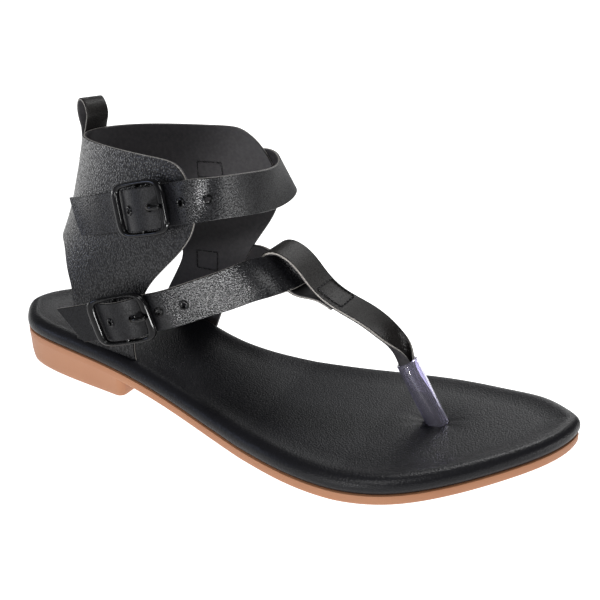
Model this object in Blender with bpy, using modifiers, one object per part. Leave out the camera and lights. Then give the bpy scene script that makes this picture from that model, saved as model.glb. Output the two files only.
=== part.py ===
"""Ankle strap sandal, right shoe, women's size about EU 38.

Tables and sizes are in millimetres, in the shoe's own frame: x from the back of the heel to the toe,
y to the inner (big toe) side, z up from the floor. A root empty moves that frame so that the
origin is the middle of the sole's box on the floor, and every mesh is made in metres.
"""
import math

import bmesh
import bpy
import numpy as np
from mathutils import Vector

MM = 0.001
GAP = 0.3  # clearance between neighbouring pieces

# Sole sizes
LENGTH = 252.0
BAND = 3.9  # outsole thickness under the footbed
BED = 7.2  # footbed thickness at its rolled edge
BREAST_X = 71.0  # front face of the heel block
BREAST_ROUND = 3.0
HEEL_SINK = 1.6  # how far the heel block reaches up into the band
STATIONS = 30  # cross sections of the sole from heel to toe
ACROSS = 4  # cells from one side of a section to the other

# Leather sizes
WALL = 1.6
STRAP_WIDTH = 15.6
CUFF_AXIS_Y = 1.5
RIM_FLARE = 3.8  # half width of the rim's parabola, for each unit of root
SIDE_HALF = 26.5  # half distance between the straight sides at the footbed
SIDE_ROUND = 3.5  # root at which the back has turned into the sides
FLARE_TOP = 80.0  # height above which the cuff is the parabola alone
FLARE_DEPTH = 60.0  # height over which the straight sides turn into it

# Sleeve over the toe post
SLEEVE_TOP = Vector((186.4, 2.0, 33.3))
SLEEVE_FOOT = Vector((201.2, 2.0, 8.8))
SLEEVE_RADIUS = 4.3
SLEEVE_BORE = 2.8
POST_RADIUS = SLEEVE_BORE - GAP
POST_OVERRUN = 4.6  # the post runs this far out of the sleeve into the toe strap
SEAT_REACH = 9.0  # length of the sleeve's seat, past the top of the footbed

# Buckle sizes
BUCKLE_LENGTH = 28.2
BUCKLE_HEIGHT = 21.9
BUCKLE_SQUARENESS = 5.2  # power of the frame's superellipse: 2 is an ellipse, more is squarer
BUCKLE_POINTS = 32
BAR_RADIUS = 1.2
MIDDLE_BAR_RADIUS = 1.0
BAR_SLACK = 0.75  # more room where the strap slopes away from a bar
PRONG_RADIUS = 0.9
PRONG_HOLE = 6.6  # from the middle bar towards the front bar
PRONG_HOLE_RADIUS = 2.6
PRONG_HOLE_CUT = 3.0  # half length of its cutter
PRONG = (
    # forward from the middle bar, lift
    (1.5, -0.5),
    (3.6, -0.7),
    (5.2, -0.5),
    (6.6, 1.2),
    (8.0, 2.6),
    (10.0, 2.9),
    (12.0, 2.5),
    (13.8, 2.3),
)

# Eyelets: ring and wire radius, and their places ahead of the middle bar
EYELET_RING = 1.55
EYELET_WIRE = 0.45
ANKLE_EYELETS = (32.5, 22.3, -4.0, -17.2)
INSTEP_EYELETS = (28.9, 18.1, -3.6, -17.2)

# Plan of the sole: share of the length, then the reach to the outer and to the inner side
OUTLINE = (
    # share, outer, inner
    (0.00, 0.0, 0.0),
    (0.02, 10.1, 13.0),
    (0.05, 17.8, 20.0),
    (0.10, 23.0, 26.0),
    (0.16, 25.6, 28.4),
    (0.28, 28.8, 27.6),
    (0.40, 33.6, 21.7),
    (0.52, 41.7, 24.9),
    (0.63, 49.5, 30.6),
    (0.72, 50.9, 36.6),
    (0.80, 45.3, 38.3),
    (0.87, 32.8, 36.1),
    (0.93, 18.2, 31.9),
    (0.97, 6.3, 24.7),
    (1.00, -14.2, 14.2),
)

# Underside of the outsole band: share of the length, height. Below zero it is cut flat by the floor.
UNDERSIDE = (
    (0.00, 11.2),
    (0.16, 11.0),
    (0.30, 8.0),
    (0.45, 2.2),
    (0.56, -0.2),
    (0.66, -0.4),
    (0.75, 0.4),
    (0.88, 3.7),
    (1.00, 9.4),
)

# Edge profiles, from below to above: inset from the plan outline, height over the piece's base
OUTSOLE_EDGE = ((1.2, 0.0), (0.45, 0.4), (0.2, 1.2), (0.2, BAND - GAP / 2))
FOOTBED_EDGE = (
    (1.4, GAP / 2),
    (0.3, 1.4),
    (0.0, 3.3),
    (0.4, 5.4),
    (1.5, 6.8),
    (3.2, BED),
    (6.2, 6.6),
    (10.0, 5.9),
)
HEEL_EDGE = ((2.2, 0.0), (1.2, 0.9), (0.6, 5.0), (0.35, None))  # the last ring ends inside the band

# Back of the cuff: height, x of its rearmost line
CUFF_BACK = (
    (10, 7.0),
    (20, 10.0),
    (40, 17.2),
    (58, 24.6),
    (74, 31.0),
    (84, 34.2),
    (93, 37.0),
    (105, 40.2),
    (112, 42.0),
)

# Cuff from the outer tab over the back to the inner tab. Around the cuff a place is the root of its
# distance in front of the rearmost line, negative on the outer side.
CUFF = (
    # rear root, rear z, front root, front z
    (-6.10, 17.3, -8.35, 14.2),
    (-5.70, 27.0, -8.02, 26.0),
    (-5.10, 40.5, -7.88, 44.0),
    (-4.30, 49.0, -8.12, 60.0),
    (-3.40, 56.0, -8.72, 77.0),
    (-2.60, 59.0, -8.82, 92.0),
    (-1.90, 59.8, -8.20, 106.5),
    (-1.40, 60.0, -7.00, 108.4),
    (-0.70, 60.0, -4.00, 106.2),
    (0.00, 60.0, 0.00, 105.2),
    (1.50, 60.0, 4.00, 106.8),
    (3.50, 59.5, 6.60, 107.5),
    (5.00, 58.0, 7.60, 106.0),
    (6.00, 56.0, 8.40, 95.0),
    (6.55, 53.0, 8.92, 77.0),
    (6.82, 48.0, 8.86, 61.0),
    (6.88, 41.0, 8.74, 47.0),
    (6.75, 29.0, 8.70, 30.0),
    (6.60, 16.8, 8.65, 13.6),
)

# Straps from the sewn inner end, round the front, to the tail on the outer side. "wall" rows lie on
# the cuff: side, x, z, height of the strap's middle over the cuff's middle.
# "free" rows: x, y, z, then where the face looks: turn from the toe (inner side positive) and tilt up.
ON_WALL = WALL + GAP
ANKLE_STRAP = (
    ("wall", 1, 74.0, 86.8, ON_WALL),
    ("wall", 1, 85.0, 88.2, ON_WALL),
    ("wall", 1, 96.0, 89.4, ON_WALL),
    ("free", 107.0, 36.4, 90.5, 78.0, 12.0),
    ("free", 115.5, 33.0, 91.0, 58.0, 24.0),
    ("free", 121.5, 25.0, 91.3, 35.0, 24.0),
    ("free", 125.5, 14.0, 92.2, 16.0, 15.0),
    ("free", 128.0, 3.0, 93.8, 2.0, 8.0),
    ("free", 128.7, -9.0, 95.8, -11.0, 4.0),
    ("free", 126.0, -20.0, 97.3, -28.0, 2.0),
    ("free", 121.0, -29.5, 98.0, -52.0, 0.0),
    ("wall", -1, 114.0, 96.8, ON_WALL + 0.3),
    ("wall", -1, 104.3, 93.6, ON_WALL),
    ("wall", -1, 102.1, 92.9, 2.2),
    ("wall", -1, 99.3, 91.9, 4.7),
    ("wall", -1, 96.3, 90.9, 7.0),
    ("wall", -1, 91.8, 89.4, 7.8),
    ("wall", -1, 79.2, 85.2, 3.4),
    ("wall", -1, 64.0, 79.8, 2.4),
    ("wall", -1, 50.0, 74.8, 2.9),
    ("wall", -1, 43.0, 72.3, 4.0),
)
INSTEP_STRAP = (
    ("wall", 1, 70.0, 45.0, ON_WALL),
    ("wall", 1, 82.0, 45.3, ON_WALL),
    ("wall", 1, 92.0, 45.8, ON_WALL + 0.2),
    ("free", 102.0, 32.6, 47.2, 74.0, 4.0),
    ("free", 114.0, 27.2, 49.4, 54.0, 16.0),
    ("free", 126.0, 19.0, 52.4, 40.0, 33.0),
    ("free", 135.9, 9.6, 61.6, 8.0, 52.0),
    ("free", 137.0, 2.0, 63.0, 0.0, 53.0),
    ("free", 135.9, -6.4, 63.2, -8.0, 50.0),
    ("free", 128.0, -13.5, 61.3, -44.0, 24.0),
    ("free", 118.5, -18.5, 57.0, -58.0, 10.0),
    ("free", 110.0, -23.0, 53.6, -62.0, 4.0),
    ("free", 101.5, -27.0, 50.0, -68.0, 2.0),
    ("free", 91.5, -30.2, 46.4, -80.0, 0.0),
    ("free", 89.3, -30.6, 45.7, -81.0, 0.0),
    ("free", 86.6, -33.1, 44.8, -82.0, 0.0),
    ("free", 83.6, -35.7, 43.8, -83.0, 0.0),
    ("free", 78.8, -36.8, 42.2, -84.0, 0.0),
    ("free", 66.0, -32.6, 37.8, -86.0, 0.0),
    ("free", 57.0, -32.4, 34.6, -86.0, 0.0),
    ("free", 47.0, -32.6, 31.2, -86.0, 0.0),
)
TAIL_SLANT = 8.0  # the tail's lower edge is this much shorter than its upper edge

# Buckles: strap row under the front bar, row over the middle bar, row under the rear bar
ANKLE_BUCKLE_ROWS = (12, 16, 17)
INSTEP_BUCKLE_ROWS = (13, 17, 18)

# Sewn boxes that join the straps to the cuff: x from, x to, z from, z to
SEWN_BOXES = ((77.5, 88.0, 84.5, 91.5), (74.0, 84.0, 41.0, 49.5))

# Toe strap: along its run, x and z of its middle, width, and how deep its edges curl up.
# It starts as the tongue under the sewn box, turns round the instep strap and ends in the sleeve.
TOE_STRAP_Y = 1.6
TOE_STRAP = (
    # x, z, width, curl
    (157.5, 51.7, 14.4, 0.0),
    (150.5, 53.6, 14.4, 0.0),
    (141.6, 54.5, 14.6, 0.0),
    (134.8, 58.6, 14.6, 0.0),
    (128.8, 63.3, 14.6, 0.0),
    (127.2, 67.2, 14.6, 0.0),
    (130.7, 70.2, 14.6, 0.0),
    (136.0, 69.9, 14.6, 0.0),
    (142.0, 66.3, 14.6, 0.0),
    (147.2, 61.0, 14.6, 0.0),
    (152.4, 56.6, 14.6, 0.0),
    (161.0, 52.2, 14.8, 0.0),
    (169.0, 49.2, 15.0, 0.2),
    (175.4, 45.2, 14.2, 0.8),
    (180.8, 40.7, 12.0, 1.6),
    (184.6, 36.6, 8.0, 1.8),
)

# Pull loop, a folded strip at the back: distance out from the cuff's middle, height over the rim
PULL_LOOP_ROOT = 1.05  # place around the cuff
PULL_LOOP_RIM = 106.0
PULL_LOOP_WIDTH = 9.0
PULL_LOOP_WALL = 1.2
PULL_LOOP = (
    # out, height
    (1.9, -14.0),
    (1.9, -6.0),
    (1.7, -0.5),
    (0.0, 3.0),
    (-1.4, 6.6),
    (0.6, 10.4),
    (4.0, 11.8),
    (7.6, 10.0),
    (8.8, 6.0),
    (6.8, 1.0),
    (4.4, -3.0),
    (3.5, -7.0),
    (3.5, -14.0),
)

COLOURS = {
    # name: (sRGB red, green, blue), roughness, metallic
    "tan_rubber": ((190, 142, 115), 0.55, 0.0),
    "black_footbed": ((30, 30, 36), 0.45, 0.0),
    "black_grain_leather": ((44, 43, 47), 0.5, 0.0),
    "black_smooth_leather": ((40, 38, 38), 0.55, 0.0),
    "clear_sleeve": ((120, 115, 150), 0.1, 0.0),
    "black_metal": ((22, 22, 24), 0.25, 0.8),
}


def linear(channel):
    """One sRGB channel from 0 to 255 as the linear value that Blender uses."""
    c = channel / 255
    return c / 12.92 if c <= 0.04045 else ((c + 0.055) / 1.055) ** 2.4


def material(name):
    """The named material, made at its first use."""
    if name in bpy.data.materials:
        return bpy.data.materials[name]
    colour, roughness, metallic = COLOURS[name]
    mat = bpy.data.materials.new(name)
    mat.use_nodes = True
    shader = mat.node_tree.nodes["Principled BSDF"]
    shader.inputs["Base Color"].default_value = (*[linear(c) for c in colour], 1.0)
    shader.inputs["Roughness"].default_value = roughness
    shader.inputs["Metallic"].default_value = metallic
    return mat


def spline(xs, ys, at):
    """Natural cubic spline through (xs, ys) at the places in at. ys may have several columns."""
    xs = np.asarray(xs, float)
    ys = np.asarray(ys, float)
    at = np.asarray(at, float)
    flat = ys.ndim == 1
    if flat:
        ys = ys[:, None]
    step = np.diff(xs)
    slope = np.diff(ys, axis=0) / step[:, None]
    system = np.eye(len(xs))
    right = np.zeros_like(ys)
    for i in range(1, len(xs) - 1):
        system[i, i - 1:i + 2] = step[i - 1], 2 * (step[i - 1] + step[i]), step[i]
        right[i] = 6 * (slope[i] - slope[i - 1])
    bend = np.linalg.solve(system, right)
    i = np.clip(np.searchsorted(xs, at) - 1, 0, len(xs) - 2)
    h = step[i][:, None]
    a = (xs[i + 1] - at)[:, None]
    b = (at - xs[i])[:, None]
    out = (bend[i] * a ** 3 + bend[i + 1] * b ** 3) / (6 * h)
    out += (ys[i] / h - bend[i] * h / 6) * a + (ys[i + 1] / h - bend[i + 1] * h / 6) * b
    return out[:, 0] if flat else out


def unit(vectors):
    """Rows of an array scaled to length one."""
    return vectors / np.linalg.norm(vectors, axis=-1, keepdims=True)


for old in list(bpy.data.objects):
    bpy.data.objects.remove(old, do_unlink=True)

parts = bpy.data.collections.new("ankle_strap_sandal")
tools = bpy.data.collections.new("cutters")
bpy.context.scene.collection.children.link(parts)
bpy.context.scene.collection.children.link(tools)
root = bpy.data.objects.new("sandal_root", None)
parts.objects.link(root)

SHARES = np.array([row[0] for row in OUTLINE])
ANGLES = np.arccos(1 - 2 * SHARES)  # even steps of this angle crowd the sections at heel and toe


def plan(angle):
    """Points of the plan outline. The angle runs 0 at the heel, pi at the toe, on to 2 pi."""
    angle = np.mod(angle, 2 * math.pi)
    outer = angle <= math.pi
    half = np.where(outer, angle, 2 * math.pi - angle)
    reach = spline(ANGLES, [row[1:] for row in OUTLINE], half)
    y = np.where(outer, -reach[:, 0], reach[:, 1])
    return np.column_stack([LENGTH * (1 - np.cos(half)) / 2, y])


def plan_ring(angle, inset):
    """Plan outline moved inwards by inset."""
    turn = 0.01
    along = unit(plan(angle + turn) - plan(angle - turn))
    inward = np.column_stack([-along[:, 1], along[:, 0]])
    return plan(angle) + inset * inward


def underside(x):
    """Height of the outsole band's lower face, flat where the floor cuts it."""
    rows = np.array(UNDERSIDE)
    return np.maximum(spline(rows[:, 0] * LENGTH, rows[:, 1], x), 0.0)


def sole_top(x):
    """Height of the line between the outsole and the footbed."""
    return underside(x) + BAND


def add_mesh(name, points, faces, material_name, collection=parts):
    """New object from points in millimetres, with its faces turned outwards."""
    mesh = bpy.data.meshes.new(name)
    bm = bmesh.new()
    verts = [bm.verts.new(Vector(p) * MM) for p in points]
    for face in faces:
        bm.faces.new([verts[i] for i in face])
    bmesh.ops.recalc_face_normals(bm, faces=bm.faces)
    bm.to_mesh(mesh)
    bm.free()
    mesh.shade_smooth()
    mesh.set_sharp_from_angle(angle=math.radians(40))
    obj = bpy.data.objects.new(name, mesh)
    obj.parent = root
    obj.data.materials.append(material(material_name))
    collection.objects.link(obj)
    if collection is tools:
        obj.hide_render = True
        obj.display_type = "WIRE"
    return obj


def add_sheet(name, grid, thickness, material_name, collection=parts):
    """Open sheet through a grid of points, given a wall by Solidify."""
    rows, cols = grid.shape[:2]
    faces = [
        (r * cols + c, r * cols + c + 1, (r + 1) * cols + c + 1, (r + 1) * cols + c)
        for r in range(rows - 1)
        for c in range(cols - 1)
    ]
    obj = add_mesh(name, grid.reshape(-1, 3), faces, material_name, collection)
    wall = obj.modifiers.new("wall", "SOLIDIFY")
    wall.thickness = thickness * MM
    wall.offset = 0.0
    wall.use_even_offset = True
    return obj


def boolean(obj, other, operation):
    """Join other to obj, or cut it away."""
    step = obj.modifiers.new(operation.lower(), "BOOLEAN")
    step.operation = operation
    step.solver = "EXACT"
    step.object = other


def add_rod(name, start, end, radius, material_name, sides=20, collection=parts):
    """Cylinder between two points in millimetres."""
    axis = end - start
    bpy.ops.mesh.primitive_cylinder_add(
        vertices=sides, radius=radius * MM, depth=axis.length * MM, location=(start + end) / 2 * MM
    )
    rod = bpy.context.object
    rod.name = name
    rod.rotation_euler = axis.to_track_quat("Z", "Y").to_euler()
    place(rod, material_name, collection)
    return rod


def place(obj, material_name, collection):
    """Move a new primitive to its collection, under the root, with its material."""
    for owner in list(obj.users_collection):
        owner.objects.unlink(obj)
    collection.objects.link(obj)
    obj.parent = root
    obj.data.materials.append(material(material_name))
    if collection is tools:
        obj.hide_render = True
        obj.display_type = "WIRE"


def add_stack(name, profile, base, material_name):
    """Closed slab over the plan outline: a ring for each row of the edge profile, then both faces."""
    count = 2 * STATIONS
    angle = np.arange(count) * math.pi / STATIONS
    points = []
    faces = []
    for inset, height in profile:
        ring = plan_ring(angle, inset)
        z = base(ring[:, 0]) + height
        points += [tuple(p) for p in np.column_stack([ring, z])]
    for level in range(len(profile) - 1):
        for i in range(count):
            j = (i + 1) % count
            low = level * count
            faces.append((low + i, low + j, low + count + j, low + count + i))
    for level in (0, len(profile) - 1):
        low = level * count
        height = profile[level][1]
        rungs = [[low] * (ACROSS + 1)]
        for i in range(1, STATIONS):
            left = np.array(points[low + i])
            right = np.array(points[low + count - i])
            rung = [low + i]
            for k in range(1, ACROSS):
                p = left + (right - left) * k / ACROSS
                p[2] = base(p[:1])[0] + height
                points.append(tuple(p))
                rung.append(len(points) - 1)
            rungs.append(rung + [low + count - i])
        rungs.append([low + STATIONS] * (ACROSS + 1))
        for a, b in zip(rungs, rungs[1:]):
            for k in range(ACROSS):
                corner = list(dict.fromkeys((a[k], a[k + 1], b[k + 1], b[k])))
                faces.append(tuple(corner))
    return add_mesh(name, points, faces, material_name)


def add_heel_block():
    """Heel block: the back of the plan outline, closed by a straight breast with round corners."""
    side_steps = 14
    corner_steps = 4
    rings = []
    fine = np.linspace(-1.4, 1.4, 561)  # well past the breast on both sides of the heel
    for inset, height in HEEL_EDGE:
        outline = plan_ring(fine, inset)
        reach = BREAST_X - (inset - HEEL_EDGE[-1][0])
        kept = fine[outline[:, 0] < reach - BREAST_ROUND]
        ring = plan_ring(np.linspace(kept[0], kept[-1], 2 * side_steps + 1), inset)
        corners = []
        for end, side in ((ring[-1], 1.0), (ring[0], -1.0)):
            turn = np.linspace(0, math.pi / 2, corner_steps + 1)[1:]
            arc = np.column_stack([
                reach - BREAST_ROUND + BREAST_ROUND * np.sin(turn),
                end[1] + side * BREAST_ROUND * (1 - np.cos(turn)),
            ])
            corners.append(arc)
        ring = np.vstack([ring, corners[0], corners[1][::-1]])
        z = underside(ring[:, 0]) + HEEL_SINK if height is None else np.full(len(ring), height)
        rings.append(np.column_stack([ring, z]))
    count = len(rings[0])
    faces = [tuple(range(count)), tuple(range((len(rings) - 1) * count, len(rings) * count))]
    for level in range(len(rings) - 1):
        for i in range(count):
            j = (i + 1) % count
            low = level * count
            faces.append((low + i, low + j, low + count + j, low + count + i))
    return add_mesh("heel_block", np.vstack(rings), faces, "tan_rubber", tools)


def cuff_back(z):
    """x of the cuff's rearmost line at height z."""
    rows = np.array(CUFF_BACK)
    return spline(rows[:, 0], rows[:, 1], z)


def cuff_point(place_root, z):
    """Point of the cuff's middle surface: a parabola at the rim that opens to two straight sides below."""
    low = np.clip((FLARE_TOP - z) / FLARE_DEPTH, 0.0, 1.0)
    low = low * low * (3 - 2 * low)
    size = np.abs(place_root)
    half = (1 - low) * RIM_FLARE * size + low * SIDE_HALF * np.tanh(size / SIDE_ROUND)
    y = CUFF_AXIS_Y + np.sign(place_root) * half
    return np.column_stack([cuff_back(z) + place_root ** 2, y, z])


def cuff_normal(place_root, z):
    """Outward normal of the cuff."""
    d = 0.02
    along = cuff_point(place_root + d, z) - cuff_point(place_root - d, z)
    up = cuff_point(place_root, z + d) - cuff_point(place_root, z - d)
    normal = np.cross(up, along)
    return unit(normal)


def wall_point(side, x, z, lift):
    """Point at x and z on one side of the cuff, lifted off it, and the outward normal there."""
    z = np.array([z], float)
    place_root = side * np.sqrt(x - cuff_back(z))
    normal = cuff_normal(place_root, z)[0]
    return cuff_point(place_root, z)[0] + lift * normal, normal


def cuff_grid(along, across):
    """Grid over the cuff: along its run in rows of the table, across from the rear to the front edge."""
    rows = spline(np.arange(len(CUFF)), CUFF, along)
    share = np.asarray(across)[None, :]
    place_root = rows[:, 0:1] * (1 - share) + rows[:, 2:3] * share
    z = rows[:, 1:2] * (1 - share) + rows[:, 3:4] * share
    return cuff_point(place_root.ravel(), z.ravel()).reshape(len(rows), -1, 3)


class Strap:
    """Flat strap along the rows of a table, with its face turned as the rows say."""

    def __init__(self, table):
        self.points = []
        normals = []
        for kind, *row in table:
            if kind == "wall":
                point, normal = wall_point(*row)
            else:
                point = np.array(row[:3])
                turn, tilt = np.radians(row[3:])
                flat = np.array([math.cos(turn), math.sin(turn), 0.0]) * math.cos(tilt)
                normal = flat + np.array([0.0, 0.0, math.sin(tilt)])
            self.points.append(point)
            normals.append(normal)
        self.points = np.array(self.points)
        self.normals = unit(np.array(normals))
        chords = np.linalg.norm(np.diff(self.points, axis=0), axis=1)
        self.knots = np.concatenate([[0.0], np.cumsum(chords)])
        self.length = self.knots[-1]

    def frame(self, run):
        """Middle, direction, upward edge direction and outward normal at distances along the strap."""
        run = np.atleast_1d(run)
        middle = spline(self.knots, self.points, run)
        ahead = unit(spline(self.knots, self.points, run + 0.2) - spline(self.knots, self.points, run - 0.2))
        normal = unit(spline(self.knots, self.normals, run))
        up = unit(np.cross(ahead, normal))
        return middle, ahead, up, np.cross(up, ahead)

    def grid(self, columns, rows):
        """Grid of the strap's middle surface, with the slanted tail at its end."""
        out = []
        for level in np.linspace(-0.5, 0.5, rows):
            end = self.length - TAIL_SLANT * (0.5 - level)
            middle, _, up, _ = self.frame(np.linspace(0.0, end, columns))
            out.append(middle + up * level * STRAP_WIDTH)
        return np.array(out)

    def spot(self, run, across, lift):
        """Point on the strap: along it, across it and off its face, all in millimetres."""
        middle, _, up, normal = self.frame(run)
        return Vector(middle[0] + up[0] * across + normal[0] * lift)


def add_buckle(name, strap, rows):
    """Buckle frame with a middle bar, and the prong that starts at it and rests on the front bar."""
    front_run, middle_run, rear_run = (strap.knots[i] for i in rows)
    over = WALL / 2 + GAP + BAR_RADIUS + BAR_SLACK
    front = strap.spot(front_run, 0.0, over)
    rear = strap.spot(rear_run, 0.0, over)
    ex = (front - rear).normalized()
    en = strap.spot(middle_run, 0.0, 1.0) - strap.spot(middle_run, 0.0, 0.0)
    en = (en - ex * en.dot(ex)).normalized()
    ey = en.cross(ex)
    centre = (front + rear) / 2
    half_x = BUCKLE_LENGTH / 2 - BAR_RADIUS
    half_y = BUCKLE_HEIGHT / 2 - BAR_RADIUS
    ring = []
    for turn in np.arange(BUCKLE_POINTS) * 2 * math.pi / BUCKLE_POINTS:
        x = half_x * math.copysign(abs(math.cos(turn)) ** (2 / BUCKLE_SQUARENESS), math.cos(turn))
        y = half_y * math.copysign(abs(math.sin(turn)) ** (2 / BUCKLE_SQUARENESS), math.sin(turn))
        ring.append(centre + ex * x + ey * y)
    frame = add_tube(name + "_frame", ring, BAR_RADIUS, closed=True)
    bar = add_rod(
        name + "_middle_bar", centre - ey * half_y, centre + ey * half_y, MIDDLE_BAR_RADIUS,
        "black_metal", 12, tools,
    )
    boolean(frame, bar, "UNION")
    path = [centre + ex * forward + en * lift for forward, lift in PRONG]
    add_tube(name + "_prong", path, PRONG_RADIUS)


def add_eyelets(name, strap, middle_run, places):
    """Rolled metal rings on the strap's face, on both sides of the middle bar."""
    for number, ahead in enumerate(places, 1):
        run = middle_run - ahead
        lift = WALL / 2 + GAP + EYELET_WIRE
        spot = strap.spot(run, 0.0, lift)
        normal = strap.spot(run, 0.0, lift + 1.0) - spot
        bpy.ops.mesh.primitive_torus_add(
            major_segments=14, minor_segments=6, major_radius=EYELET_RING * MM,
            minor_radius=EYELET_WIRE * MM, location=spot * MM,
        )
        ring = bpy.context.object
        ring.name = f"{name}_eyelet_{number}"
        ring.rotation_euler = normal.to_track_quat("Z", "Y").to_euler()
        place(ring, "black_metal", parts)


def add_tube(name, path, radius, closed=False):
    """Round metal wire along a path of points in millimetres, made a mesh so that it can be joined."""
    curve = bpy.data.curves.new(name, "CURVE")
    curve.dimensions = "3D"
    curve.bevel_depth = radius * MM
    curve.bevel_resolution = 2
    curve.use_fill_caps = True
    line = curve.splines.new("POLY")
    line.points.add(len(path) - 1)
    for point, place_mm in zip(line.points, path):
        point.co = (*(Vector(place_mm) * MM), 1.0)
    line.use_cyclic_u = closed
    guide = bpy.data.objects.new(name + "_path", curve)
    parts.objects.link(guide)
    mesh = bpy.data.meshes.new_from_object(guide.evaluated_get(bpy.context.evaluated_depsgraph_get()))
    bpy.data.objects.remove(guide, do_unlink=True)
    bm = bmesh.new()
    bm.from_mesh(mesh)
    bmesh.ops.remove_doubles(bm, verts=bm.verts, dist=0.00001)
    bmesh.ops.recalc_face_normals(bm, faces=bm.faces)
    bm.to_mesh(mesh)
    bm.free()
    mesh.name = name
    obj = bpy.data.objects.new(name, mesh)
    obj.parent = root
    obj.data.materials.append(material("black_metal"))
    parts.objects.link(obj)
    return obj


def toe_strap_grid(columns, rows):
    """Grid of the toe strap's middle surface, with its edges curled up towards the sleeve."""
    table = np.array(TOE_STRAP)
    run = np.concatenate([[0.0], np.cumsum(np.linalg.norm(np.diff(table[:, :2], axis=0), axis=1))])
    at = np.linspace(0.0, run[-1], columns)
    x, z, width, curl = spline(run, table, at).T
    ahead = unit(spline(run, table[:, :2], at + 0.2) - spline(run, table[:, :2], at - 0.2))
    out = []
    for level in np.linspace(-0.5, 0.5, rows):
        rise = curl * 4 * level ** 2
        out.append(np.column_stack([
            x - ahead[:, 1] * rise, TOE_STRAP_Y + level * width, z + ahead[:, 0] * rise
        ]))
    return np.array(out)


def pull_loop_grid(columns):
    """Grid of the folded strip: it follows the cuff below the rim and stands straight up above it."""
    table = np.array(PULL_LOOP)
    run = np.concatenate([[0.0], np.cumsum(np.linalg.norm(np.diff(table, axis=0), axis=1))])
    path = spline(run, table, np.linspace(0.0, run[-1], columns))
    place_root = np.full(columns, PULL_LOOP_ROOT)
    rim = np.full(columns, PULL_LOOP_RIM)
    normal = cuff_normal(place_root, rim)
    normal[:, 2] = 0.0
    normal = unit(normal)
    sideways = np.cross(normal, [0.0, 0.0, 1.0])
    seat = cuff_point(place_root, rim + np.minimum(path[:, 1], 0.0))
    middle = seat + normal * path[:, :1]
    middle[:, 2] += np.maximum(path[:, 1], 0.0)
    return np.array([middle + sideways * PULL_LOOP_WIDTH * level for level in (-0.5, 0.0, 0.5)])


# Outsole and footbed
outsole = add_stack("outsole", OUTSOLE_EDGE, underside, "tan_rubber")
boolean(outsole, add_heel_block(), "UNION")
footbed = add_stack("footbed", FOOTBED_EDGE, sole_top, "black_footbed")

slot_across = np.linspace(-0.014, 1.014, 6)
for i, along in enumerate((np.linspace(-0.04, 1.0, 4), np.linspace(17.0, 18.04, 4))):
    slot = add_sheet(f"tab_slot_{i}", cuff_grid(along, slot_across), WALL + 2 * GAP, "black_footbed", tools)
    boolean(footbed, slot, "DIFFERENCE")

# Upper: cuff and the two straps, joined by the sewn boxes
upper = add_sheet(
    "upper", cuff_grid(np.linspace(0, len(CUFF) - 1, 55), np.linspace(0, 1, 9)), WALL, "black_grain_leather"
)
ankle = Strap(ANKLE_STRAP)
instep = Strap(INSTEP_STRAP)
for name, strap, rows, eyelets in (
    ("ankle", ankle, ANKLE_BUCKLE_ROWS, ANKLE_EYELETS),
    ("instep", instep, INSTEP_BUCKLE_ROWS, INSTEP_EYELETS),
):
    sheet = add_sheet(f"{name}_strap", strap.grid(56, 4), WALL, "black_grain_leather", tools)
    hole_run = strap.knots[rows[1]] - PRONG_HOLE
    hole = add_rod(
        f"{name}_prong_hole", strap.spot(hole_run, 0.0, -PRONG_HOLE_CUT),
        strap.spot(hole_run, 0.0, PRONG_HOLE_CUT), PRONG_HOLE_RADIUS, "black_grain_leather", 16, tools,
    )
    boolean(sheet, hole, "DIFFERENCE")
    boolean(upper, sheet, "UNION")
    add_buckle(f"{name}_buckle", strap, rows)
    add_eyelets(name, strap, strap.knots[rows[1]], eyelets)
for i, (x0, x1, z0, z1) in enumerate(SEWN_BOXES):
    patch = np.array([
        [wall_point(1, x, z, ON_WALL / 2)[0] for x in np.linspace(x0, x1, 4)] for z in np.linspace(z0, z1, 4)
    ])
    boolean(upper, add_sheet(f"sewn_box_{i}", patch, WALL, "black_grain_leather", tools), "UNION")

# Toe strap with the post that runs down inside the clear sleeve, and the sleeve's seat in the footbed
down = (SLEEVE_FOOT - SLEEVE_TOP).normalized()
toe_strap = add_sheet("toe_strap", toe_strap_grid(60, 7), WALL, "black_smooth_leather")
post = add_rod(
    "toe_post", SLEEVE_TOP - down * POST_OVERRUN, SLEEVE_FOOT, POST_RADIUS, "black_smooth_leather", 16, tools
)
boolean(toe_strap, post, "UNION")
sleeve = add_rod("toe_post_sleeve", SLEEVE_TOP, SLEEVE_FOOT, SLEEVE_RADIUS, "clear_sleeve", 28)
bore = add_rod("sleeve_bore", SLEEVE_TOP - down, SLEEVE_FOOT + down, SLEEVE_BORE, "clear_sleeve", 20, tools)
boolean(sleeve, bore, "DIFFERENCE")
seat = add_rod(
    "sleeve_seat", SLEEVE_FOOT - down * SEAT_REACH, SLEEVE_FOOT + down * GAP, SLEEVE_RADIUS + GAP,
    "black_footbed", 28, tools,
)
boolean(footbed, seat, "DIFFERENCE")

pull_loop = add_sheet("pull_loop", pull_loop_grid(40), PULL_LOOP_WALL, "black_smooth_leather")

ys = plan(np.linspace(0, 2 * math.pi, 721))[:, 1]
root.location = Vector((-LENGTH / 2, -(ys.min() + ys.max()) / 2, 0.0)) * MM
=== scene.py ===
# %% [markdown]
# # An ankle strap sandal, dressed step by step
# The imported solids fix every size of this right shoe. This lesson puts the looks on them: padded footbed,
# rubber sole, grained straps with pale cut edges, thread, a clear sleeve and black hardware.
# The same few shape rules that made the solids are used again here, only with many more points,
# so that each fine piece lies exactly where its plain solid lies.

# %% Load the frame
import math

import bmesh
import bpy
import numpy as np
from mathutils import Matrix, Vector


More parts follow.
